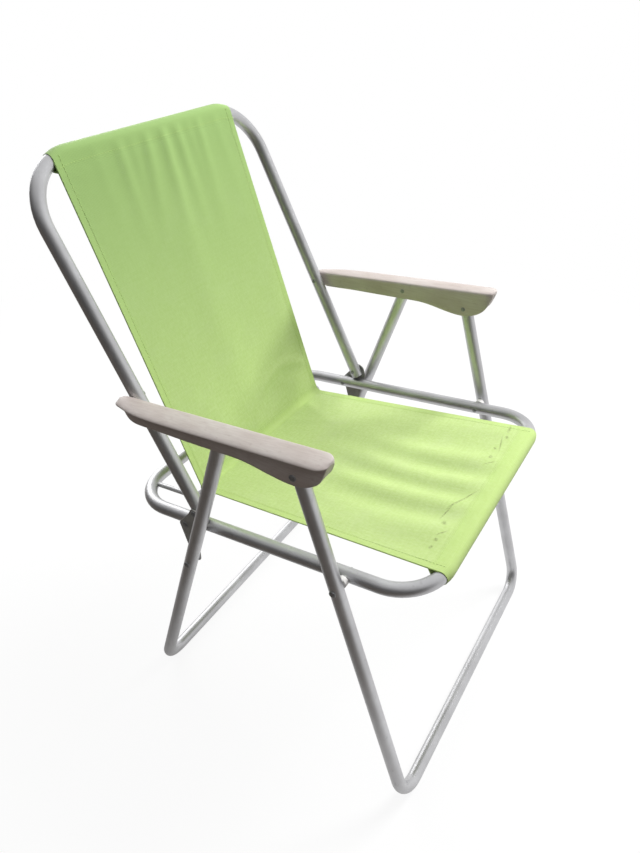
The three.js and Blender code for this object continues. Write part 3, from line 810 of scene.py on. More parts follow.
def rivet_tree() -> GrownMesh:
    """A tree that sets a domed rivet head and its shaft at each point."""
    sizes = ("Head Radius", "Head Height", "Shaft Radius")
    grown = GrownMesh("domed_rivets", dict.fromkeys(sizes, "Float"))
    entry = grown.entry.outputs
    ball = grown.add(
        "GeometryNodeMeshUVSphere", {"Segments": 24, "Rings": 12, "Radius": entry["Head Radius"]}
    )
    flatness = grown.add(
        "ShaderNodeMath", {0: entry["Head Height"], 1: entry["Head Radius"]}, operation="DIVIDE"
    )
    flat = grown.add("ShaderNodeCombineXYZ", {"X": 1.0, "Y": 1.0, "Z": flatness.outputs[0]})
    head = grown.add("GeometryNodeTransform", {"Geometry": ball.outputs[0], "Scale": flat.outputs[0]})
    bar = grown.add(
        "GeometryNodeMeshCylinder", {"Vertices": 20, "Radius": entry["Shaft Radius"], "Depth": 1.0}
    )
    hung = grown.add(
        "GeometryNodeTransform", {"Geometry": bar.outputs[0], "Translation": (0.0, 0.0, -0.5)}
    )
    length = grown.add(
        "ShaderNodeCombineXYZ", {"X": 1.0, "Y": 1.0, "Z": grown.attribute("shaft", "FLOAT")}
    )
    heads = grown.stud(head.outputs[0], grown.attribute("head_share", "FLOAT"))
    shafts = grown.stud(hung.outputs[0], length.outputs[0])
    both = grown.add("GeometryNodeJoinGeometry", {"Geometry": heads})
    grown.tree.links.new(shafts, both.inputs[0])
    grown.close(both.outputs[0])
    return grown


def ring_tree() -> GrownMesh:
    """A tree that sets a flat ring at each point, such as a washer or a spacer."""
    sizes = ("Inner Radius", "Wall", "Thickness", "Edge")
    grown = GrownMesh("pivot_rings", dict.fromkeys(sizes, "Float"))
    entry = grown.entry.outputs
    half = grown.add("ShaderNodeMath", {0: entry["Wall"], 1: 0.5}, operation="MULTIPLY")
    middle = grown.add(
        "ShaderNodeMath", {0: entry["Inner Radius"], 1: half.outputs[0]}, operation="ADD"
    )
    circle = grown.add(
        "GeometryNodeCurvePrimitiveCircle", {"Resolution": 28, "Radius": middle.outputs[0]}
    )
    section = grown.add(
        "GeometryNodeCurvePrimitiveQuadrilateral",
        {"Width": entry["Wall"], "Height": entry["Thickness"]},
    )
    eased = grown.add(
        "GeometryNodeFilletCurve",
        {"Curve": section.outputs[0], "Count": 3, "Radius": entry["Edge"], "Limit Radius": True},
        mode="POLY",
    )
    ring = grown.add(
        "GeometryNodeCurveToMesh", {"Curve": circle.outputs[0], "Profile Curve": eased.outputs[0]}
    )
    grown.close(grown.stud(ring.outputs[0]))
    return grown


def stitch_tree() -> GrownMesh:
    """A tree that lays thread stitches along lines at an even pitch."""
    grown = GrownMesh("stitches", dict.fromkeys(("Pitch", "Length", "Thread Radius"), "Float"))
    entry = grown.entry.outputs
    line = grown.add("GeometryNodeMeshToCurve", {"Mesh": entry["Geometry"]})
    even = grown.add(
        "GeometryNodeResampleCurve",
        {"Curve": line.outputs[0], "Length": entry["Pitch"]},
        mode="LENGTH",
    )
    points = grown.add("GeometryNodeCurveToPoints", {"Curve": even.outputs[0]}, mode="EVALUATED")
    along = grown.add("FunctionNodeAlignRotationToVector", {"Vector": points.outputs["Tangent"]}, axis="Z")
    ball = grown.add("GeometryNodeMeshUVSphere", {"Segments": 6, "Rings": 5, "Radius": 1.0})
    half = grown.add("ShaderNodeMath", {0: entry["Length"], 1: 0.5}, operation="MULTIPLY")
    thread = entry["Thread Radius"]
    size = grown.add("ShaderNodeCombineXYZ", {"X": thread, "Y": thread, "Z": half.outputs[0]})
    stitch = grown.add("GeometryNodeTransform", {"Geometry": ball.outputs[0], "Scale": size.outputs[0]})
    laid = grown.add(
        "GeometryNodeInstanceOnPoints",
        {"Points": points.outputs[0], "Instance": stitch.outputs[0], "Rotation": along.outputs[0]},
    )
    grown.close(laid.outputs[0])
    return grown


@dataclass(frozen=True)
class Linkage:
    """The chair's sizes in millimetres and its pivots in the side view, as the model has them.

    The side view's origin is at the middle between the feet. `middle` moves it to the chair's own origin.
    """

    middle: float = 59.88
    foot_half_spread: float = 213.0
    tube_radius: float = 9.0
    leg_lean: float = math.radians(17.775)
    seat_tilt: float = math.radians(6.89)
    back_recline: float = math.radians(27.68)
    arm_tilt: float = math.radians(6.0524)
    leg_x: float = 230.06
    rail_x: float = 203.8
    back_x: float = 206.5
    arm_inner: float = 218.18
    bracket_inner: float = 215.98
    bracket_thickness: float = 2.0
    seat_pivot_height: float = 363.0
    leg_pivot_height: float = 284.104
    arm_front_height: float = 514.0
    arm_rear_height: float = 519.0
    arm_back_height: float = 508.3
    top_bar_height: float = 760.0
    rail_pivot_behind: float = 239.8
    front_bar_ahead: float = 99.2
    rear_bar_behind: float = 351.0
    back_pivot_from_rail: Point = (-17.5, 26.6)
    rod_from_rear_bar: Point = (-83.35, 10.11)

    def front_leg(self, height: float) -> Point:
        """The point of the front leg at a height."""
        along = -self.foot_half_spread + (height - self.tube_radius) * math.tan(self.leg_lean)
        return (along - self.middle, height)

    def rear_leg(self, height: float) -> Point:
        """The point of the rear leg at a height."""
        along = self.foot_half_spread - (height - self.tube_radius) * math.tan(self.leg_lean)
        return (along - self.middle, height)

    def rail(self, behind: float) -> Point:
        """The point of the seat rail at a distance behind the front leg's pivot."""
        start = self.seat_pivot
        return (start[0] + behind * math.cos(self.seat_tilt), start[1] - behind * math.sin(self.seat_tilt))

    def back(self, height: float) -> Point:
        """The point of the back tube at a height."""
        start = self.back_pivot
        return (start[0] + (height - start[1]) * math.tan(self.back_recline), height)

    @property
    def seat_pivot(self) -> Point:
        """Rail on front leg."""
        return self.front_leg(self.seat_pivot_height)

    @property
    def rail_pivot(self) -> Point:
        """Bracket on rail."""
        return self.rail(self.rail_pivot_behind)

    @property
    def back_pivot(self) -> Point:
        """Bracket on back tube."""
        rail, offset = self.rail_pivot, self.back_pivot_from_rail
        return (rail[0] + offset[0], rail[1] + offset[1])

    @property
    def leg_bracket_pivot(self) -> Point:
        """Bracket on rear leg."""
        return self.rear_leg(self.leg_pivot_height)

    @property
    def arm_front_pivot(self) -> Point:
        """Armrest on front leg."""
        return self.front_leg(self.arm_front_height)

    @property
    def arm_rear_pivot(self) -> Point:
        """Armrest on rear leg."""
        return self.rear_leg(self.arm_rear_height)

    @property
    def arm_back_pivot(self) -> Point:
        """Armrest on back tube."""
        return self.back(self.arm_back_height)

    @property
    def front_bar(self) -> Point:
        """Centre of the seat frame's front bar."""
        return self.rail(-self.front_bar_ahead)

    @property
    def rear_bar(self) -> Point:
        """Centre of the seat frame's rear bar."""
        return self.rail(self.rear_bar_behind)

    @property
    def top_bar(self) -> Point:
        """Centre of the back frame's top bar."""
        return self.back(self.top_bar_height)

    @property
    def rod(self) -> Point:
        """Centre of the crease rod."""
        bar, offset = self.rear_bar, self.rod_from_rear_bar
        return (bar[0] + offset[0], bar[1] + offset[1])


@dataclass
class TubeFrames:
    """The four bent tube frames and the crease rod. Sizes are in millimetres.

    Args:
        links: the chair's sizes and pivots.
        wall: the tube's wall.
        front_past: how far the front legs run past the armrests' pivots.
        rear_past: how far the rear legs run past theirs.
        back_past: how far the back tube runs past the bracket's pivot.
        seam_half: half the gap where the seat loop's ends meet.
        rod_bite: how far the crease rod's ends run into the bar that they are welded to.
    """

    links: Linkage
    wall: float = 1.0
    foot_bend: float = 36.0
    front_bend: float = 58.0
    rear_bend: float = 62.0
    back_bend: float = 72.0
    rod_radius: float = 3.5
    rod_half_width: float = 166.0
    rod_bend: float = 14.0
    front_past: float = 9.0
    rear_past: float = 5.0
    back_past: float = 11.0
    seam_half: float = 0.15
    rod_bite: float = 1.0
    bend_steps: int = 14
    round_sides: int = 32
    tree: GrownMesh = field(default_factory=tube_tree)

    def sweep(
        self, name: str, places: Sequence[tuple[float, Point]], bends: Sequence[float], radius: float
    ) -> bpy.types.Object:
        """Makes one tube from its corners.

        Args:
            name: the piece's name.
            places: each corner's distance from the middle and its side-view point, in millimetres.
            bends: the bend radii in millimetres.
            radius: the tube's radius in millimetres.

        Returns:
            The tube, with its wall where it is hollow.
        """
        solid = radius < self.links.tube_radius
        line = [side_to_world(x, point) for x, point in places]
        piece = self.tree.run(
            name,
            path_mesh(name, line, [bend * MM for bend in bends]),
            TUBE_FINISH,
            {
                "Radius": radius * MM,
                "Bend Steps": self.bend_steps,
                "Round Sides": self.round_sides,
                "Capped": solid,
            },
        )
        self.turn_outwards(piece.data)
        smooth(piece.data)
        if not solid:
            add_wall(piece, "wall", self.wall, -1.0)
        return piece

    def turn_outwards(self, mesh: bpy.types.Mesh) -> None:
        """Merges doubles and points the faces away from the tube's middle line."""
        work = bmesh.new()
        work.from_mesh(mesh)
        bmesh.ops.remove_doubles(work, verts=work.verts, dist=1e-6)
        bmesh.ops.recalc_face_normals(work, faces=work.faces)
        work.to_mesh(mesh)
        work.free()

    def leg_frame(self, name: str, foot: Point, top: Point, past: float) -> bpy.types.Object:
        """A leg frame: down one leg, along the floor bar and up the other.

        Args:
            name: the piece's name.
            foot: the floor bar's centre.
            top: the armrest pivot.
            past: how far the tube runs past that pivot.

        Returns:
            The tube.
        """
        rise = Vector((top[0] - foot[0], top[1] - foot[1])).normalized()
        end = (top[0] + rise.x * past, top[1] + rise.y * past)
        return self.bent_u(name, self.links.leg_x, end, foot, self.foot_bend, self.links.tube_radius)

    def bent_u(
        self, name: str, x: float, end: Point, bar: Point, bend: float, radius: float
    ) -> bpy.types.Object:
        """A tube that runs along one side, across the chair, and back along the other side.

        Args:
            name: the piece's name.
            x: how far its sides are from the chair's middle.
            end: where each side ends.
            bar: the middle line of its run across the chair.
            bend: the radius of its bends.
            radius: the tube's radius.

        Returns:
            The tube.
        """
        places = ((x, end), (x, bar), (-x, bar), (-x, end))
        return self.sweep(name, places, (0, bend, bend, 0), radius)

    def build(self) -> None:
        """Makes the frames and puts each on its body."""
        links = self.links
        half, floor_height = links.foot_half_spread, links.tube_radius
        front_foot = (-half - links.middle, floor_height)
        rear_foot = (half - links.middle, floor_height)
        front = self.leg_frame("front_leg_tube", front_foot, links.arm_front_pivot, self.front_past)
        rear = self.leg_frame("rear_leg_tube", rear_foot, links.arm_rear_pivot, self.rear_past)
        place_piece(front, "front_legs", "front_leg_frame")
        place_piece(rear, "rear_legs", "rear_leg_frame")
        place_piece(self.seat_loop(), "seat", "seat_frame")
        place_piece(self.back_frame(), "back", "back_frame")
        place_piece(self.crease_rod(), "seat", "crease_rod")

    def seat_loop(self) -> bpy.types.Object:
        """The seat's loop, with its butted joint at the middle of the rear bar."""
        links = self.links
        x, seam = links.rail_x, self.seam_half
        places = (
            (seam, links.rear_bar),
            (x, links.rear_bar),
            (x, links.front_bar),
            (-x, links.front_bar),
            (-x, links.rear_bar),
            (-seam, links.rear_bar),
        )
        bends = (0, self.rear_bend, self.front_bend, self.front_bend, self.rear_bend, 0)
        return self.sweep("seat_tube", places, bends, links.tube_radius)

    def back_frame(self) -> bpy.types.Object:
        """The back's upside-down U."""
        links = self.links
        pivot, top = Vector(links.back_pivot), Vector(links.top_bar)
        end = tuple(pivot + (pivot - top).normalized() * self.back_past)
        return self.bent_u(
            "back_tube", links.back_x, end, links.top_bar, self.back_bend, links.tube_radius
        )

    def crease_rod(self) -> bpy.types.Object:
        """The rod from the rear bar forward to the crease, its ends welded to the bar's bends."""
        links = self.links
        x = self.rod_half_width
        into_bend = x + self.rod_radius - (links.rail_x - self.rear_bend)
        ahead = self.rear_bend - math.sqrt((self.rear_bend - links.tube_radius) ** 2 - into_bend**2)
        bar, rod = Vector(links.rear_bar), Vector(links.rod)
        end = tuple(bar + (rod - bar).normalized() * (ahead - self.rod_bite))
        return self.bent_u("crease_bar", x, end, links.rod, self.rod_bend, self.rod_radius)


def place_piece(piece: bpy.types.Object, body: str, *nodes: str) -> None:
    """Puts a piece on a body and lets it stand for the model's nodes."""
    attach(piece, body)
    if nodes:
        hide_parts(*nodes)
    log.info("%s rides on %s", piece.name, body)


@dataclass
class Fasteners:
    """Rivets, washers and spacers of the seven pivots on each side.

    Args:
        links: the chair's sizes and pivots.
    """

    links: Linkage
    head_radius: float = 4.4
    head_height: float = 1.6
    shaft_radius: float = 2.5
    gap: float = 0.3
    reach: float = 9.18
    washer_radius: float = 6.5
    spacer_radius: float = 6.8
    inner_end_share: float = 0.72
    arm_wall: float = 2.4
    bore_slack: float = 0.1
    ring_edge: float = 0.7

    def points(self, name: str, heads: Iterable[tuple[float, Point, int, float]]) -> bpy.types.Mesh:
        """Points for heads on both sides of the chair.

        Args:
            name: the mesh's name.
            heads: distance from the middle, side-view point, 1 outward or -1 inward, and shaft length.

        Returns:
            A mesh of points with their directions and shafts.
        """
        places: list[Vector] = []
        outward: list[float] = []
        shafts: list[float] = []
        sizes: list[float] = []
        for side in Side:
            for x, point, facing, shaft in heads:
                # The end rolled over on the inside is smaller than the domed head outside
                sizes.append(1.0 if facing > 0 else self.inner_end_share)
                places.append(side_to_world(side.value * x, point))
                outward += [side.value * facing, 0.0, 0.0]
                shafts.append(shaft * MM)
        mesh = bpy.data.meshes.new(name)
        mesh.from_pydata(places, [], [])
        mesh.attributes.new("outward", "FLOAT_VECTOR", "POINT").data.foreach_set("vector", outward)
        mesh.attributes.new("shaft", "FLOAT", "POINT").data.foreach_set("value", shafts)
        mesh.attributes.new("head_share", "FLOAT", "POINT").data.foreach_set("value", sizes)
        return mesh

    def build(self) -> None:
        """Makes each body's rivets and rings."""
        links = self.links
        gap, reach = self.gap, self.reach
        rail_in = links.rail_x - reach - gap
        back_in = links.back_x - reach - gap
        leg_out = links.leg_x + reach + gap
        leg_in = links.leg_x - reach
        plate_out = links.bracket_inner + links.bracket_thickness + gap
        arm_wall = self.arm_wall
        arm_out = leg_out + arm_wall + gap
        groups: dict[str, tuple[str, list[tuple[float, Point, int, float]], tuple[str, ...]]] = {
            "seat_rivet_set": (
                "seat",
                [
                    (rail_in, links.seat_pivot, -1, 1),
                    (leg_out, links.seat_pivot, 1, leg_out - rail_in),
                    (rail_in, links.rail_pivot, -1, 1),
                    (plate_out, links.rail_pivot, 1, plate_out - rail_in),
                ],
                ("seat_rivet", "rail_rivet"),
            ),
            "arm_rivet_set": (
                "armrests",
                [
                    (links.arm_inner - gap, links.arm_front_pivot, -1, 1),
                    (arm_out, links.arm_front_pivot, 1, arm_out - links.arm_inner),
                    (links.arm_inner - gap, links.arm_rear_pivot, -1, arm_wall),
                    (links.arm_inner + arm_wall + gap, links.arm_back_pivot, 1, arm_wall + gap),
                ],
                ("arm_front_rivet", "arm_rear_rivet", "arm_back_rivet_head"),
            ),
            "bracket_rivet_set": (
                "brackets",
                [
                    (back_in, links.back_pivot, -1, 1),
                    (plate_out, links.back_pivot, 1, plate_out - back_in),
                    (links.bracket_inner - gap, links.leg_bracket_pivot, -1, 1),
                    (leg_out, links.leg_bracket_pivot, 1, leg_out - links.bracket_inner),
                ],
                ("back_rivet", "leg_rivet"),
            ),
            "back_rivet_set": (
                "back",
                [(back_in, links.arm_back_pivot, -1, links.arm_inner - gap - back_in)],
                ("arm_back_rivet",),
            ),
        }
        rivets = rivet_tree()
        for name, (body, heads, nodes) in groups.items():
            piece = rivets.run(
                name,
                self.points(name, heads),
                ZINC_FINISH,
                {
                    "Head Radius": self.head_radius * MM,
                    "Head Height": self.head_height * MM,
                    "Shaft Radius": self.shaft_radius * MM,
                },
            )
            smooth(piece.data, 50)
            place_piece(piece, body, *[f"{node}_{side.label}" for node in nodes for side in Side])
        self.rings(leg_in, plate_out)
        self.pins()

    def rings(self, leg_in: float, plate_out: float) -> None:
        """Makes the spacers and washers.

        Args:
            leg_in: the leg's inner reach.
            plate_out: the bracket's outer face, with its gap.
        """
        links = self.links
        rail_out = links.rail_x + self.reach
        tree = ring_tree()
        washer = (self.washer_radius, ZINC_FINISH)
        sets = (
            ("spacer", "seat", links.seat_pivot, rail_out, leg_in, self.spacer_radius, SPACER_FINISH),
            ("rail_washer", "seat", links.rail_pivot, rail_out, links.bracket_inner, *washer),
            ("leg_washer", "brackets", links.leg_bracket_pivot, plate_out - self.gap, leg_in, *washer),
        )
        for node, body, point, near, far, radius, finish in sets:
            name = f"{node}_pair"
            thickness = far - near - 2 * self.gap
            inner = self.shaft_radius + self.bore_slack
            piece = tree.run(
                name,
                self.points(name, [((near + far) / 2, point, 1, 0)]),
                finish,
                {
                    "Inner Radius": inner * MM,
                    "Wall": (radius - inner) * MM,
                    "Thickness": thickness * MM,
                    "Edge": min(self.ring_edge, thickness / 4) * MM,
                },
            )
            smooth(piece.data, 40)
            place_piece(piece, body, *[f"{node}_{side.label}" for side in Side])

    def pins(self) -> None:
        """Dresses the model's own pins in the rear legs and the joiner in the seat tube."""
        for side in Side:
            dress_node(f"arm_rear_pin_{side.label}", ZINC_FINISH)
        dress_node("frame_joiner", ZINC_FINISH)


def dress_node(name: str, finish: Finish) -> None:
    """Gives one of the model's own nodes a finish."""
    node = bpy.data.objects[name]
    for slot in node.material_slots:
        slot.material = finish.material()


@dataclass
class Brackets:
    """The flat pressed plates that join the back, the rail and the rear leg.

    Args:
        links: the chair's sizes and pivots.
    """

    links: Linkage
    margin: float = 11.0
    corner: float = 2.2
    edge: float = 0.45

    def outline(self) -> list[Point]:
        """The plate's corners in the side view, in order."""
        rail, back, leg = self.links.rail_pivot, self.links.back_pivot, self.links.leg_bracket_pivot
        shares: list[tuple[Point, float, float]] = [
            (rail, 0.93, -0.05),
            (back, 0.82, -0.3),
            (back, 0.4, 0.55),
            (back, -0.4, 0.53),
            (back, -0.95, 0.14),
            (back, -1.2, -0.6),
            (back, -1.35, -1.35),
            (leg, -0.5, 0.8),
            (leg, -0.5, -0.5),
            (leg, -0.25, -0.85),
            (leg, 0.4, -0.85),
            (leg, 0.8, -0.4),
            (leg, 1.15, 0.9),
        ]
        return [(p[0] + y * self.margin, p[1] + z * self.margin) for p, y, z in shares]

    def build(self) -> None:
        """Makes both plates."""
        for side in Side:
            work = bmesh.new()
            x = side.value * self.links.bracket_inner
            corners = [work.verts.new(side_to_world(x, point)) for point in self.outline()]
            work.faces.new(corners)
            bmesh.ops.bevel(
                work,
                geom=work.verts[:],
                offset=self.corner * MM,
                segments=4,
                profile=0.5,
                affect="VERTICES",
            )
            grown = bmesh.ops.extrude_face_region(work, geom=work.faces[:])
            moved = [item for item in grown["geom"] if isinstance(item, bmesh.types.BMVert)]
            out = Vector((side.value * self.links.bracket_thickness * MM, 0, 0))
            bmesh.ops.translate(work, verts=moved, vec=out)
            bmesh.ops.recalc_face_normals(work, faces=work.faces[:])
            mesh = bpy.data.meshes.new("bracket")
            work.to_mesh(mesh)
            work.free()
            piece = new_object(f"bracket_plate_{side.label}", mesh, BRACKET_FINISH)
            rounding = piece.modifiers.new("blanked_edge", "BEVEL")
            rounding.width = self.edge * MM
            rounding.segments = 2
            rounding.limit_method = "ANGLE"
            smooth(mesh, 30)
            place_piece(piece, "brackets", f"bracket_{side.label}")


@dataclass
class Armrests:
    """The moulded armrests: a channel that holds the legs' ends, under a wider crowned top.

    Sizes are in the armrest's own frame in millimetres: out from the inner face, u rearwards, h upwards.

    Args:
        links: the chair's sizes and pivots.
    """

    links: Linkage
    wall: float = 2.4
    channel: float = 23.8
    nose: float = -143.0
    tail: float = 157.2
    nose_corner: float = 12.0
    tail_corner: float = 6.0
    rim: float = 8.2
    crown: float = 13.9
    ceiling: float = 10.8
    closed_ahead: float = -114.0
    edge: tuple[Point, ...] = (
        (-142.6, 8.2),
        (-140.5, 3.0),
        (-134.3, -10.8),
        (-126.0, -19.0),
        (-115.1, -24.3),
        (-105.0, -27.3),
        (-95.3, -27.6),
        (-79.0, -25.4),
        (-62.7, -21.4),
        (-46.0, -16.8),
        (-29.9, -13.8),
        (9.9, -12.8),
        (50.0, -11.6),
    )
    inner_tail: tuple[Point, ...] = (
        (89.5, -10.2),
        (120.0, -10.3),
        (139.5, -9.9),
        (149.9, -6.0),
        (155.6, 8.2),
    )
    outer_tail: tuple[Point, ...] = (
        (89.5, -9.4),
        (113.0, -8.9),
        (124.0, -8.0),
        (130.0, -5.4),
        (134.2, -0.5),
        (136.0, 8.2),
    )
    outer_edge: tuple[Point, ...] = (
        (-143.0, 33.0),
        (70.0, 33.0),
        (100.0, 32.2),
        (115.0, 30.9),
        (128.0, 28.2),
        (148.0, 22.4),
        (157.2, 20.0),
    )
    stations: tuple[float, ...] = (
        157.2, 156.6, 155.2, 153.0, 150.0, 145.0, 140.0, 136.4, 135.2, 133.6, 130.0, 124.0, 113.0,
        96.0, 80.0, 62.0, 44.0, 26.0, 8.0, -10.0, -28.0, -44.0, -58.0, -70.0, -82.0, -94.0,
        -104.0, -111.0, -114.5, -117.0, -122.0, -128.0, -133.5, -137.5, -140.5, -142.2, -143.0,
    )  # fmt: skip

    @staticmethod
    def read(table: Sequence[Point], u: float) -> float:
        """A value of a table at a place, straight between its rows."""
        rows = sorted(table)
        return float(np.interp(u, [row[0] for row in rows], [row[1] for row in rows]))

    def corner_cut(self, u: float) -> float:
        """How far the rounded corners draw the plan in at a place along it."""
        if u > self.tail - self.tail_corner:
            into, radius = u - (self.tail - self.tail_corner), self.tail_corner
        elif u < self.nose + self.nose_corner:
            into, radius = self.nose + self.nose_corner - u, self.nose_corner
        else:
            return 0.0
        return radius - math.sqrt(max(radius**2 - min(into, radius * 0.995) ** 2, 0.0))

    def section(self, u: float) -> list[Point]:
        """The armrest's section at a place along it, as (out, h) points in order.

        Args:
            u: the place along the armrest.

        Returns:
            Nineteen points, the same at every place.
        """
        cut = self.corner_cut(u)
        left = cut
        right = self.read(self.outer_edge, u) - cut
        thin = 1.0 - 0.35 * cut / self.nose_corner
        rim = self.rim + (1 - thin) * 2.4
        crown = self.rim + (self.crown - self.rim) * thin
        inner_low = min(self.read((*self.edge, *self.inner_tail), u), rim)
        outer_low = min(self.read((*self.edge, *self.outer_tail), u), rim)
        skirt_out = min(self.channel, right - 1.6)
        skirt_in = skirt_out - self.wall
        inner_wall = left + self.wall
        ceiling = self.ceiling
        closed = u <= self.closed_ahead - 1 or u > self.tail - 2.5
        ceiling_in = inner_low + 0.5 if closed else ceiling
        ceiling_out = outer_low + 0.5 if closed else ceiling
        middle = (left + right) / 2
        return [
            (left, inner_low),
            (left, (inner_low + rim) / 2),
            (left, rim + 0.9),
            (left + 1.0, crown - 1.6),
            (left + 4.0, crown - 0.4),
            (middle, crown),
            (right - 6.5, crown - 0.9),
            (right - 1.6, crown - 2.3),
            (right, (crown + rim) / 2 - 0.9),
            (right - 1.2, rim),
            (skirt_out + 0.3, rim + 0.2),
            (skirt_out, (outer_low + rim) / 2 - 0.2),
            (skirt_out, outer_low),
            (skirt_in, outer_low),
            (skirt_in, (outer_low + ceiling_out) / 2),
            (skirt_in, ceiling_out),
            (inner_wall, ceiling_in),
            (inner_wall, (inner_low + ceiling_in) / 2),
            (inner_wall, inner_low),
        ]

    def place(self, side: Side, out: float, u: float, h: float) -> Vector:
        """A point of the armrest's own frame, in the chair's frame."""
        start = self.links.arm_rear_pivot
        y = start[0] + u * math.cos(self.links.arm_tilt) + h * math.sin(self.links.arm_tilt)
        z = start[1] - u * math.sin(self.links.arm_tilt) + h * math.cos(self.links.arm_tilt)
        return side_to_world(side.value * (self.links.arm_inner + out), (y, z))

    def build(self) -> None:
        """Makes both armrests."""
        for side in Side:
            work = bmesh.new()
            rings = [
                [work.verts.new(self.place(side, out, u, h)) for out, h in self.section(u)]
                for u in self.stations
            ]
            for first, second in zip(rings, rings[1:]):
                for i in range(len(first)):
                    j = (i + 1) % len(first)
                    work.faces.new((first[i], first[j], second[j], second[i]))
            work.faces.new(rings[0])
            work.faces.new(list(reversed(rings[-1])))
            bmesh.ops.recalc_face_normals(work, faces=work.faces[:])
            mesh = bpy.data.meshes.new("armrest")
            work.to_mesh(mesh)
            work.free()
            piece = new_object(f"arm_moulding_{side.label}", mesh, ARM_FINISH)
            shade_smooth(mesh)
            rounding = piece.modifiers.new("moulded_curves", "SUBSURF")
            rounding.levels = 2
            rounding.render_levels = 2
            place_piece(piece, "armrests", f"armrest_{side.label}")


class Zone(Enum):
    """The stretches of the sling, from the front sleeve's seam to the back sleeve's seam."""

    FRONT_TURN = "front_turn"
    SEAT = "seat"
    CREASE = "crease"
    BACK = "back"
    TOP_TURN = "top_turn"


@dataclass(frozen=True)
class Station:
    """One row of the cloth.

    Args:
        point: its place in the side view.
        facing: the direction of the cloth's upper face there.
        zone: the stretch it belongs to.
        share: how far along its zone it is, from 0 to 1.
        distance: its distance in millimetres from the bar or rod it started at.
    """

    point: Point
    facing: Point
    zone: Zone
    share: float
    distance: float


def bump(off: float) -> float:
    """A soft bump: 1 in its middle, and falling away past a distance of 1 from it."""
    return math.exp(-(off**2))


def unit(angle: float) -> Vector:
    """The side-view direction at an angle."""
    return Vector((math.cos(angle), math.sin(angle)))


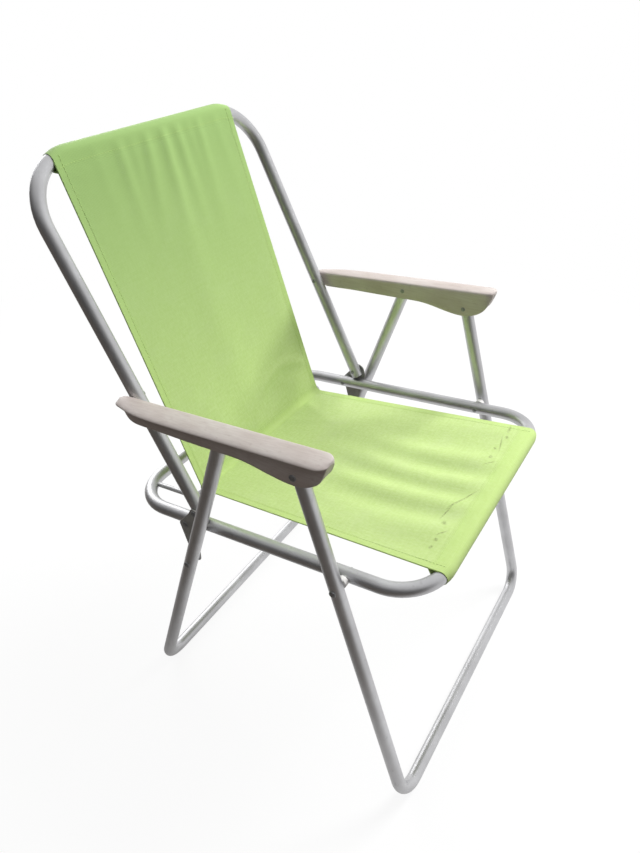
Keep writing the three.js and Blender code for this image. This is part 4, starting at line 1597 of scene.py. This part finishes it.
@dataclass
class Sling:
    """The mesh cloth, sewn round the front bar, held down by the crease rod, and sewn round the top bar.

    Sizes are in millimetres.

    Args:
        links: the chair's sizes and pivots.
        frames: the tube frames, whose bends the sleeves follow.
        sleeve: how far from a bar its sleeve is sewn.
        crease_turn: how far before the crease each straight run ends.
        crease_lap: how far the crease sleeve reaches beyond that.
        crease_wrap: the angles between which it goes round the rod, in degrees.
        crease_wall: its thickness.
        back_run: length of the back, from the crease to the top bar.
        fold_share: how deep the back's folds are drawn, as a share of their table.
        hem_wall: thickness of the side hems.
        hem_drop: how far they lie under the cloth, in thicknesses of it.
        hem_reach: how far out they go, as a share of the half-width.
        hem_seam: how far out from a hem's inner edge its stitches lie.
        blend_reach: a distance from the rod along the seat and the back; the points worked out from it are
            not used.
        thread_radius: the thread's radius.
        thread_lift: how far it lies off the cloth.
    """

    links: Linkage
    frames: TubeFrames
    thickness: float = 0.7
    clearance: float = 0.5
    crease_radius: float = 4.4
    sleeve: float = 14.0
    front_half: float = 163.0
    crease_half: float = 152.0
    top_half: float = 162.0
    seat_sag: float = 7.0
    back_sag: float = 6.0
    hem: float = 11.0
    bend_reach: float = 60.0
    columns: int = 60
    row_pitch: float = 6.0
    crease_turn: float = 9.0
    crease_lap: float = 9.0
    crease_wrap: tuple[float, float] = (200.0, 325.0)
    crease_wall: float = 0.6
    back_run: float = 445.0
    fold_share: float = 0.75
    hem_wall: float = 0.55
    hem_drop: float = 0.9
    hem_reach: float = 1.004
    hem_seam: float = 1.5
    blend_reach: float = 10.0
    thread_radius: float = 0.32
    thread_lift: float = 0.12
    stitch_pitch: float = 4.4
    stitch_length: float = 3.2

    def __post_init__(self) -> None:
        """Works out the two straight runs and the turns round the bars."""
        links = self.links
        self.around = links.tube_radius + self.clearance + self.thickness / 2
        rod, front, top = Vector(links.rod), Vector(links.front_bar), Vector(links.top_bar)
        self.seat_angle = self.touching(rod, self.crease_radius, front, self.around, -1)
        self.back_angle = self.touching(rod, self.crease_radius, top, self.around, 1)
        self.seat_face = unit(self.seat_angle - math.pi / 2)
        self.back_face = unit(self.back_angle + math.pi / 2)
        self.rod = rod
        self.front = front
        self.top = top
        half = (self.seat_angle - self.back_angle) / 2
        middle = unit((self.seat_angle + self.back_angle) / 2)
        self.crease = rod + middle * (self.crease_radius / math.sin(half))
        self.rows = self.stations()

    @staticmethod
    def touching(start: Vector, start_radius: float, end: Vector, end_radius: float, turn: int) -> float:
        """Angle of the line that touches two circles on the same side."""
        between = end - start
        angle = math.atan2(between.y, between.x)
        return angle + turn * math.asin((end_radius - start_radius) / between.length)

    def straight(self, start: Vector, end: Vector, facing: Vector, zone: Zone) -> list[Station]:
        """Rows along a straight run, from its start up to its end."""
        length = (end - start).length
        count = max(2, round(length / self.row_pitch))
        return [
            Station(tuple(start.lerp(end, i / count)), tuple(facing), zone, i / count, length * i / count)
            for i in range(count + 1)
        ]

    def turn(self, centre: Vector, radius: float, first: float, last: float, zone: Zone) -> list[Station]:
        """Rows round a bar, from one angle to another."""
        count = max(3, round(abs(last - first) / math.radians(11)))
        rows: list[Station] = []
        for i in range(count + 1):
            out = unit(first + (last - first) * i / count)
            rows.append(Station(tuple(centre + out * radius), tuple(out), zone, i / count, 0.0))
        return rows

    def under_run(
        self, bar: Vector, touch: Vector, direction: Vector, facing: Vector, spin: int
    ) -> tuple[float, Vector]:
        """Where the cloth leaves the underside of a bar for its seam on the panel's back.

        Args:
            bar: the bar's centre.
            touch: where the panel meets the bar.
            direction: the panel's direction, away from the bar.
            facing: the panel's upper side.
            spin: the sense in which the cloth turns round the bar, seen from +X.

        Returns:
            The angle at which it leaves the bar, and the seam's place.
        """
        seam = touch + direction * self.sleeve - facing * (1.5 * self.thickness)
        to_seam = seam - bar
        distance = to_seam.length
        angle = math.atan2(to_seam.y, to_seam.x) - spin * math.acos(self.around / distance)
        return angle, seam

    def stations(self) -> list[Station]:
        """All rows of the cloth, from the seam under the front bar to the seam behind the top bar."""
        seat_way, back_way = unit(self.seat_angle), unit(self.back_angle)
        front_touch = self.front + self.seat_face * self.around
        top_touch = self.top + self.back_face * self.around
        # Round the front bar: from underneath, forward and up onto the seat
        leave, seam = self.under_run(self.front, front_touch, -seat_way, self.seat_face, 1)
        start = math.atan2(self.seat_face.y, self.seat_face.x)
        while leave < start:
            leave += 2 * math.pi
        seam_run = self.straight(seam, self.front + unit(leave) * self.around, unit(leave), Zone.FRONT_TURN)
        rows = seam_run[:-1] + self.turn(self.front, self.around, leave, start, Zone.FRONT_TURN)[:-1]
        # Across the seat to the crease
        seat_end = self.crease + seat_way * self.crease_turn
        rows += self.straight(front_touch, seat_end, self.seat_face, Zone.SEAT)
        # The crease itself, a short curve between the two runs
        back_start = self.crease + back_way * self.crease_turn
        for i in range(1, 6):
            share = i / 6
            point = seat_end.lerp(self.crease, share).lerp(self.crease.lerp(back_start, share), share)
            facing = self.seat_face.lerp(self.back_face, share).normalized()
            rows.append(Station(tuple(point), tuple(facing), Zone.CREASE, share, 0.0))
        # Up the back and over the top bar
        rows += self.straight(back_start, top_touch, self.back_face, Zone.BACK)
        leave, seam = self.under_run(self.top, top_touch, -back_way, self.back_face, -1)
        start = math.atan2(self.back_face.y, self.back_face.x)
        while leave > start:
            leave -= 2 * math.pi
        rows += self.turn(self.top, self.around, start, leave, Zone.TOP_TURN)[1:]
        rows += self.straight(self.top + unit(leave) * self.around, seam, unit(leave), Zone.TOP_TURN)[1:]
        return rows

    def half_width(self, row: Station) -> float:
        """Half the cloth's width at a row."""
        if row.zone is Zone.FRONT_TURN:
            return self.front_half
        if row.zone is Zone.TOP_TURN:
            return self.top_half
        if row.zone is Zone.CREASE:
            return self.crease_half
        if row.zone is Zone.SEAT:
            return self.front_half + (self.crease_half - self.front_half) * row.share
        return self.crease_half + (self.top_half - self.crease_half) * row.share

    def bend_back(self, row: Station, x: float) -> Vector:
        """How far the cloth follows its bar's bend at a distance from the middle.

        It follows the bend fully round the bar, and less and less beyond.
        """
        links = self.links
        if row.zone in (Zone.FRONT_TURN, Zone.SEAT):
            start, radius = links.rail_x - self.frames.front_bend, self.frames.front_bend
            inward = unit(-links.seat_tilt)
        elif row.zone in (Zone.TOP_TURN, Zone.BACK):
            start, radius = links.back_x - self.frames.back_bend, self.frames.back_bend
            inward = -unit(math.pi / 2 - links.back_recline)
        else:
            return Vector((0, 0))
        eased = max(1 - self.from_bar(row) / self.bend_reach, 0.0) ** 2
        into = max(abs(x) - start, 0.0)
        return inward * (radius - math.sqrt(radius**2 - into**2)) * eased

    def from_bar(self, row: Station) -> float:
        """A row's distance from the bar that its run goes to: none round the bar itself."""
        if row.zone is Zone.SEAT:
            return row.distance
        if row.zone is Zone.BACK:
            return row.distance / max(row.share, 0.01) - row.distance
        return 0.0

    def relief(self, row: Station, x: float, share: float) -> float:
        """How far the cloth stands off its plain surface, in millimetres.

        Args:
            row: the row of the cloth.
            x: the distance from the middle.
            share: that distance as a share of the half-width.

        Returns:
            Sag, folds and wrinkles together, positive towards the sitter.
        """
        inside = 1 - share * share
        if row.zone is Zone.SEAT:
            bulge = 4 * row.share * (1 - row.share)
            return -self.seat_sag * bulge * inside + self.seat_wrinkles(row, x, inside)
        if row.zone is Zone.BACK:
            bulge = 4 * row.share * (1 - row.share)
            return -self.back_sag * bulge * inside + self.back_wrinkles(row, x, inside)
        return 0.0

    def seat_wrinkles(self, row: Station, x: float, inside: float) -> float:
        """Long waves down the slack front half, and short pulls near the crease."""
        behind = row.distance
        ahead = (1 - row.share) * 350
        rise = min(max((280 - behind) / 150, 0.0), 1.0)
        fade = min(max((behind - 4) / 40, 0.0), 1.0)
        slack = rise * rise * (3 - 2 * rise) * fade
        bend = x - 12 + 6 * math.sin(behind / 60)
        waves = 2.9 * math.cos(2 * math.pi * bend / 54) * bump((x + 12) / 75)
        waves += 1.1 * math.cos(2 * math.pi * (x + 0.2 * behind) / 83 + 0.7)
        waves += 0.35 * math.sin(behind / 7.5 + x / 50) * bump((x - 20) / 90)
        pulls = 0.0
        for centre, lean, width in SEAT_PULLS:
            pulls += 1.5 * bump((x - centre - lean * ahead) / width) * math.exp(-ahead / 42)
        return (waves * slack + pulls) * min(1.0, inside * 3)

    def back_wrinkles(self, row: Station, x: float, inside: float) -> float:
        """Soft folds that fall from the top sleeve, and a curved pull near the crease."""
        up = row.share * self.back_run
        down = self.back_run - up
        height = 0.0
        for centre, lean, depth in BACK_FOLDS:
            width = 6.5 + 0.045 * down
            height += depth * bump((x - centre - lean * down) / width) * bump(down / 120)
        # One broad soft ridge runs on down the middle
        height += 2.2 * bump((x + 4) / 30) * (1 - math.exp(-down / 60))
        # The cloth dips at the sleeve's seam
        height -= 1.2 * bump((down - self.sleeve) / 5)
        # The curved pull on the right, just above the crease
        arch = 26 + 42 * math.sin(math.pi * min(max((x + 15) / 190, 0), 1))
        if x > 5:
            height += 3.6 * bump((up - arch) / 6) * min(1.0, (x - 5) / 30)
        # A short pull left of the middle above the crease, and a broad one towards the right edge
        height += 1.3 * bump((x + 30 + 0.6 * up) / 14) * math.exp(-up / 60)
        height += 1.6 * bump((x - 118 - 0.35 * (up - 120)) / 22) * bump((up - 130) / 75)
        ends = min(1.0, up / 12) * min(1.0, down / 8)
        return self.fold_share * height * min(1.0, inside * 3) * ends

    def surface(self, index: int, share: float, lift: float = 0.0) -> Vector:
        """A point of the cloth.

        Args:
            index: the row's number.
            share: the place across it, from -1 to 1.
            lift: a distance off its middle surface, in millimetres.

        Returns:
            The point in the chair's frame, in metres.
        """
        row = self.rows[index]
        x = share * self.half_width(row)
        off = self.relief(row, x, share) + lift
        point = Vector(row.point) + Vector(row.facing) * off + self.bend_back(row, x)
        return side_to_world(x, (point.x, point.y))

    def lengths(self) -> list[float]:
        """Distance of each row along the cloth, in metres."""
        total = [0.0]
        for first, second in zip(self.rows, self.rows[1:]):
            total.append(total[-1] + (Vector(second.point) - Vector(first.point)).length * MM)
        return total

    def cloth_piece(
        self,
        name: str,
        points: Sequence[Vector],
        places: Sequence[Point],
        doubled: Sequence[float],
        width: int,
        finish: Finish,
        thickness: float,
    ) -> bpy.types.Object:
        """Makes a piece of cloth from a grid of points.

        Args:
            name: the piece's name.
            points: its points in metres, row after row.
            places: each point's place on the cloth's map, in metres.
            doubled: 1 for each point where the cloth is doubled, and 0 elsewhere.
            width: the number of points in a row.
            finish: its finish.
            thickness: its thickness in millimetres.

        Returns:
            The piece, with its thickness as a modifier.
        """
        firsts = [i for i in range(len(points) - width) if (i + 1) % width]
        mesh = bpy.data.meshes.new(name)
        mesh.from_pydata(points, [], [(i, i + 1, i + width + 1, i + width) for i in firsts])
        layer = mesh.uv_layers.new(name="cloth")
        for loop in mesh.loops:
            layer.data[loop.index].uv = places[loop.vertex_index]
        mesh.attributes.new("layers", "FLOAT", "POINT").data.foreach_set("value", doubled)
        shade_smooth(mesh)
        piece = new_object(name, mesh, finish)
        add_wall(piece, "cloth_thickness", thickness, 0.0)
        return piece

    def patch(
        self,
        name: str,
        rows: Sequence[int],
        shares: Sequence[float],
        lift: float,
        finish: Finish,
        thickness: float,
    ) -> bpy.types.Object:
        """A piece of cloth that follows the sling's surface.

        Args:
            name: the piece's name.
            rows: the rows it covers.
            shares: the places across each row.
            lift: its distance off the sling's middle surface, in millimetres.
            finish: its finish.
            thickness: its thickness in millimetres.

        Returns:
            The piece, with its thickness as a modifier.
        """
        along = self.lengths()
        grid = [(i, share) for i in rows for share in shares]
        return self.cloth_piece(
            name,
            [self.surface(i, share, lift) for i, share in grid],
            [(share * self.half_width(self.rows[i]) * MM + MAP_MIDDLE * MM, along[i]) for i, share in grid],
            [self.layers(self.rows[i], share) for i, share in grid],
            len(shares),
            finish,
            thickness,
        )

    def layers(self, row: Station, share: float) -> float:
        """Whether the cloth is doubled at a place: in its side hems and in its sleeves."""
        in_hem = self.half_width(row) * (1 - abs(share)) < self.hem - 0.1
        turned = row.zone in (Zone.FRONT_TURN, Zone.TOP_TURN, Zone.CREASE)
        return float(in_hem or turned or self.from_bar(row) < self.sleeve)

    def columns_across(self) -> list[float]:
        """Places across the cloth: close at the hems' inner edges, even between them."""
        inner = 1 - self.hem / self.crease_half
        edge = [1.0, 1 - 0.5 * (1 - inner), inner + 0.004, inner - 0.004]
        even = [(2 * i / self.columns - 1) * (inner - 0.03) for i in range(self.columns + 1)]
        return sorted([-share for share in edge] + even + edge)

    def rows_of(self, *zones: Zone) -> list[int]:
        """The numbers of the rows in some zones."""
        return [i for i, row in enumerate(self.rows) if row.zone in zones]

    def bend_at_crease(self, piece: bpy.types.Object) -> None:
        """Bakes a piece's placement into its mesh."""
        start = self.rod + unit(self.seat_angle) * self.blend_reach
        end = self.rod + unit(self.back_angle) * self.blend_reach
        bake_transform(piece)

    def build(self) -> None:
        """Makes the cloth, its hems, the crease sleeve and the stitches."""
        across = self.columns_across()
        every = list(range(len(self.rows)))
        cloth = self.patch("mesh_sling", every, across, 0.0, CLOTH_FINISH, self.thickness)
        self.bend_at_crease(cloth)
        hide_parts("seat_sling", "back_sling")
        flat_rows = self.rows_of(Zone.SEAT, Zone.CREASE, Zone.BACK)
        for side in Side:
            inner = 1 - self.hem / self.top_half
            band = sorted(side.value * (inner + (self.hem_reach - inner) * i / 4) for i in range(5))
            hem = self.patch(
                f"side_hem_{side.label}",
                flat_rows,
                band,
                -self.hem_drop * self.thickness,
                HEM_FINISH,
                self.hem_wall,
            )
            self.bend_at_crease(hem)
        self.crease_sleeve()
        stitches = self.stitches()

    def crease_sleeve(self) -> bpy.types.Object:
        """The strip that holds the crease rod under the cloth."""
        seat_way, back_way = unit(self.seat_angle), unit(self.back_angle)
        near, far = self.crease_turn, self.crease_turn + self.crease_lap
        below = 1.1 * self.thickness
        first, last = (math.radians(angle) for angle in self.crease_wrap)
        rows = [
            self.crease + seat_way * far - self.seat_face * below,
            self.crease + seat_way * near - self.seat_face * below * 1.4,
        ]
        rows += [self.rod + unit(first + (last - first) * i / 12) * self.crease_radius for i in range(13)]
        rows += [
            self.crease + back_way * near - self.back_face * below * 1.4,
            self.crease + back_way * far - self.back_face * below,
        ]
        half = self.crease_half - 2
        across = [2 * i / 24 - 1 for i in range(25)]
        grid = [(r, share) for r in range(len(rows)) for share in across]
        piece = self.cloth_piece(
            "crease_sleeve",
            [side_to_world(share * half, (rows[r].x, rows[r].y)) for r, share in grid],
            [((share * half + MAP_MIDDLE) * MM, r * 2.4 * MM) for r, share in grid],
            [1.0] * len(grid),
            len(across),
            HEM_FINISH,
            self.crease_wall,
        )
        self.bend_at_crease(piece)
        return piece

    def nearest(self, zone: Zone, distance: float) -> int:
        """The row of a zone that is nearest to a distance from its start."""
        rows = self.rows_of(zone)
        return min(rows, key=lambda i: abs(self.rows[i].distance - distance))

    def stitches(self) -> list[bpy.types.Object]:
        """Sewn lines of the hems, sleeves and crease, one piece for each body."""
        lift = self.thickness / 2 + self.thread_lift
        edge = 1 - (self.hem - self.hem_seam) / self.top_half
        across = [2 * i / 40 - 1 for i in range(41)]
        seat_rows, back_rows = self.rows_of(Zone.SEAT)[:-1], self.rows_of(Zone.BACK)[1:]
        up_to_sleeve = self.rows[back_rows[-1]].distance - self.sleeve
        runs = (
            ("seat_stitches", "seat", seat_rows, self.nearest(Zone.SEAT, self.sleeve), seat_rows[-1]),
            ("back_stitches", "sling_back", back_rows, self.nearest(Zone.BACK, up_to_sleeve), back_rows[0]),
        )
        sizes = {
            "Pitch": self.stitch_pitch * MM,
            "Length": self.stitch_length * MM,
            "Thread Radius": self.thread_radius * MM,
        }
        tree = stitch_tree()
        made: list[bpy.types.Object] = []
        for name, body, rows, sleeve_row, crease_row in runs:
            seams = [
                [(i, -edge) for i in rows],
                [(i, edge) for i in rows],
                [(sleeve_row, share) for share in across],
                [(crease_row, share * 0.99) for share in across],
            ]
            points: list[Vector] = []
            edges: list[tuple[int, int]] = []
            for seam in seams:
                start = len(points)
                points += [self.surface(i, share, lift) for i, share in seam]
                edges += [(start + i, start + i + 1) for i in range(len(seam) - 1)]
            mesh = bpy.data.meshes.new(name)
            mesh.from_pydata(points, edges, [])
            piece = tree.run(name, mesh, THREAD_FINISH, sizes)
            shade_smooth(piece.data)
            place_piece(piece, body)
            made.append(piece)
        return made


@dataclass
class Studio:
    """The pale floor, the soft lamps and the camera at the photograph's place."""

    camera_place: tuple[float, float, float] = (-0.687434, -0.416535, 0.966258)
    right: tuple[float, float, float] = (0.524496, -0.851404, 0.003793)
    down: tuple[float, float, float] = (-0.494436, -0.308211, -0.812736)
    forward: tuple[float, float, float] = (0.693135, 0.424402, -0.58262)
    focal_pixels: float = 684.9
    long_side_pixels: float = 853.0
    sensor: float = 36.0
    # The way from the chair to the bright side of the room, ahead of the camera and to its right
    bright_way: tuple[float, float, float] = (0.97, -0.23, 0.0)
    # The way to the brightest part of the room, nearly overhead
    window_way: tuple[float, float, float] = (0.3, 0.1, 0.95)
    floor_half: float = 12.0

    def build(self) -> None:
        """Makes the whole studio."""
        self.camera()
        self.floor()
        self.world()
        # This lamp isn't mirrored, because its own image on thin tube is a hard line
        self.lamp("window_light", (1.55, -0.75, 1.6), (0.0, 0.0, 0.42), 0.8, 42.0, mirrored=False)
        self.lamp("room_fill", (-1.6, -1.8, 2.0), (0.0, 0.0, 0.4), 1.8, 1.5)
        self.lamp("rear_fill", (0.9, 2.1, 1.2), (0.0, 0.0, 0.45), 1.6, 20.0)
        bpy.context.scene.view_settings.view_transform = "Standard"

    def camera(self) -> None:
        """The camera, turned as the photograph was taken."""
        data = bpy.data.cameras.new("photo_camera")
        data.sensor_width = self.sensor
        data.lens = self.focal_pixels * self.sensor / self.long_side_pixels
        data.clip_start = 0.02
        camera = bpy.data.objects.new("photo_camera", data)
        bpy.context.scene.collection.objects.link(camera)
        axes = Matrix((Vector(self.right), -Vector(self.down), -Vector(self.forward))).transposed().to_4x4()
        camera.matrix_world = Matrix.Translation(self.camera_place) @ axes
        bpy.context.scene.camera = camera

    def white_share(self, tree: bpy.types.NodeTree, ahead: Socket, last: float, first: float) -> Socket:
        """How white the background is: all of it for the camera, and its bright side in a mirroring surface.

        Args:
            tree: the material's or the world's tree.
            ahead: a value that grows towards the bright side of the room.
            last: the value up to which a mirroring surface sees the dim side.
            first: the value from which on it sees white.

        Returns:
            A share from 0 to 1.
        """
        path = add_node(tree, "ShaderNodeLightPath").outputs
        mirrored = add_node(
            tree,
            "ShaderNodeMath",
            {0: path["Is Glossy Ray"], 1: path["Is Transmission Ray"]},
            operation="MAXIMUM",
        ).outputs[0]
        shown = add_node(
            tree,
            "ShaderNodeMapRange",
            {"Value": ahead, "From Min": last, "From Max": first, "To Min": 0.0, "To Max": 1.0},
            interpolation_type="SMOOTHSTEP",
        ).outputs[0]
        both = add_node(tree, "ShaderNodeMath", {0: mirrored, 1: shown}, operation="MULTIPLY").outputs[0]
        return add_node(
            tree, "ShaderNodeMath", {0: path["Is Camera Ray"], 1: both}, operation="MAXIMUM"
        ).outputs[0]

    def floor(self) -> None:
        """A wide floor, seen as white paper with a faint shadow, that lights the chair as dull ground."""
        mesh = bpy.data.meshes.new("floor")
        half = self.floor_half
        square = [(-half, -half, 0), (half, -half, 0), (half, half, 0), (-half, half, 0)]
        mesh.from_pydata(square, [], [(0, 1, 2, 3)])
        floor = new_object("floor", mesh)
        material = bpy.data.materials.new("matt_ground")
        material.use_nodes = True
        tree = material.node_tree
        tree.nodes.clear()
        bright_way = self.bright_way
        place = add_node(tree, "ShaderNodeTexCoord").outputs["Object"]
        grain = add_node(tree, "ShaderNodeTexNoise", {"Vector": place, "Scale": 40.0})
        tones = ((0.0, 0x5E564F), (1.0, 0x6C645C))
        ramp = add_node(tree, "ShaderNodeValToRGB", {"Fac": grain.outputs[0]}, stops=tones)
        ahead = add_node(tree, "ShaderNodeVectorMath", {0: place, 1: bright_way}, operation="DOT_PRODUCT")
        seen = self.white_share(tree, ahead.outputs["Value"], -0.5, 0.1)
        pale = add_node(
            tree, "ShaderNodeMix", {0: seen, 6: ramp.outputs[0], 7: linear(0xFFFFFF)}, data_type="RGBA"
        )
        ground = add_node(
            tree, "ShaderNodeBsdfPrincipled", {"Base Color": pale.outputs[2], "Roughness": 0.9}
        )
        glow = add_node(tree, "ShaderNodeEmission", {"Color": (1, 1, 1, 1), "Strength": 1.0})
        # The paper glows more away from the chair, so that only its near shadow is kept
        away = add_node(tree, "ShaderNodeVectorMath", {0: place}, operation="LENGTH").outputs["Value"]
        share = add_node(
            tree,
            "ShaderNodeMapRange",
            {"Value": away, "From Min": 0.4, "From Max": 1.6, "To Min": 0.88, "To Max": 1.0},
        )
        shown = add_node(
            tree, "ShaderNodeMath", {0: seen, 1: share.outputs[0]}, operation="MULTIPLY"
        )
        both = add_node(
            tree, "ShaderNodeMixShader", {0: shown.outputs[0], 1: ground.outputs[0], 2: glow.outputs[0]}
        )
        add_node(tree, "ShaderNodeOutputMaterial", {"Surface": both.outputs[0]})
        mesh.materials.append(material)

    def world(self) -> None:
        """White where it is seen, and as light a room that is brightest nearly overhead."""
        world = bpy.data.worlds.new("soft_room")
        world.use_nodes = True
        tree = world.node_tree
        tree.nodes.clear()
        way = add_node(tree, "ShaderNodeTexCoord").outputs["Generated"]
        ahead = add_node(tree, "ShaderNodeVectorMath", {0: way, 1: self.bright_way}, operation="DOT_PRODUCT")
        seen = self.white_share(tree, ahead.outputs["Value"], -0.2, 0.4)
        window = Vector(self.window_way).normalized()
        facing = add_node(tree, "ShaderNodeVectorMath", {0: way, 1: tuple(window)}, operation="DOT_PRODUCT")
        room = add_node(
            tree,
            "ShaderNodeMapRange",
            {
                "Value": facing.outputs["Value"],
                "From Min": 0.05,
                "From Max": 0.95,
                "To Min": 0.05,
                "To Max": 0.85,
            },
            interpolation_type="SMOOTHSTEP",
        )
        strength = add_node(
            tree, "ShaderNodeMix", {0: seen, 2: room.outputs[0], 3: 1.0}, data_type="FLOAT"
        )
        light = add_node(
            tree, "ShaderNodeBackground", {"Color": (1, 1, 1, 1), "Strength": strength.outputs[0]}
        )
        add_node(tree, "ShaderNodeOutputWorld", {"Surface": light.outputs[0]})
        bpy.context.scene.world = world

    def lamp(
        self,
        name: str,
        place: Sequence[float],
        target: Sequence[float],
        size: float,
        power: float,
        mirrored: bool = True,
    ) -> None:
        """A soft square lamp that faces a point.

        Args:
            name: the lamp's name.
            place: where it stands.
            target: what it faces.
            size: its side, in metres.
            power: its power, in watts.
            mirrored: whether metal and plastic mirror the lamp itself.
        """
        data = bpy.data.lights.new(name, "AREA")
        data.shape = "SQUARE"
        data.size = size
        data.energy = power
        lamp = bpy.data.objects.new(name, data)
        bpy.context.scene.collection.objects.link(lamp)
        lamp.location = place
        lamp.visible_camera = False
        lamp.visible_glossy = mirrored
        lamp.rotation_euler = (Vector(target) - Vector(place)).to_track_quat("-Z", "Y").to_euler()


def corners(box: tuple[Vector, Vector]) -> list[list[float]]:
    """A box as plain lists of numbers."""
    return [list(corner) for corner in box]


def main() -> None:
    """Builds the chair's looks and the studio, and reports each piece."""
    logging.basicConfig(level=logging.INFO, format="%(message)s")
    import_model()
    links = Linkage()
    Studio().build()
    frames = TubeFrames(links)
    frames.build()
    Brackets(links).build()
    Fasteners(links).build()
    Armrests(links).build()
    Sling(links, frames).build()


if __name__ == "__main__":
    main()
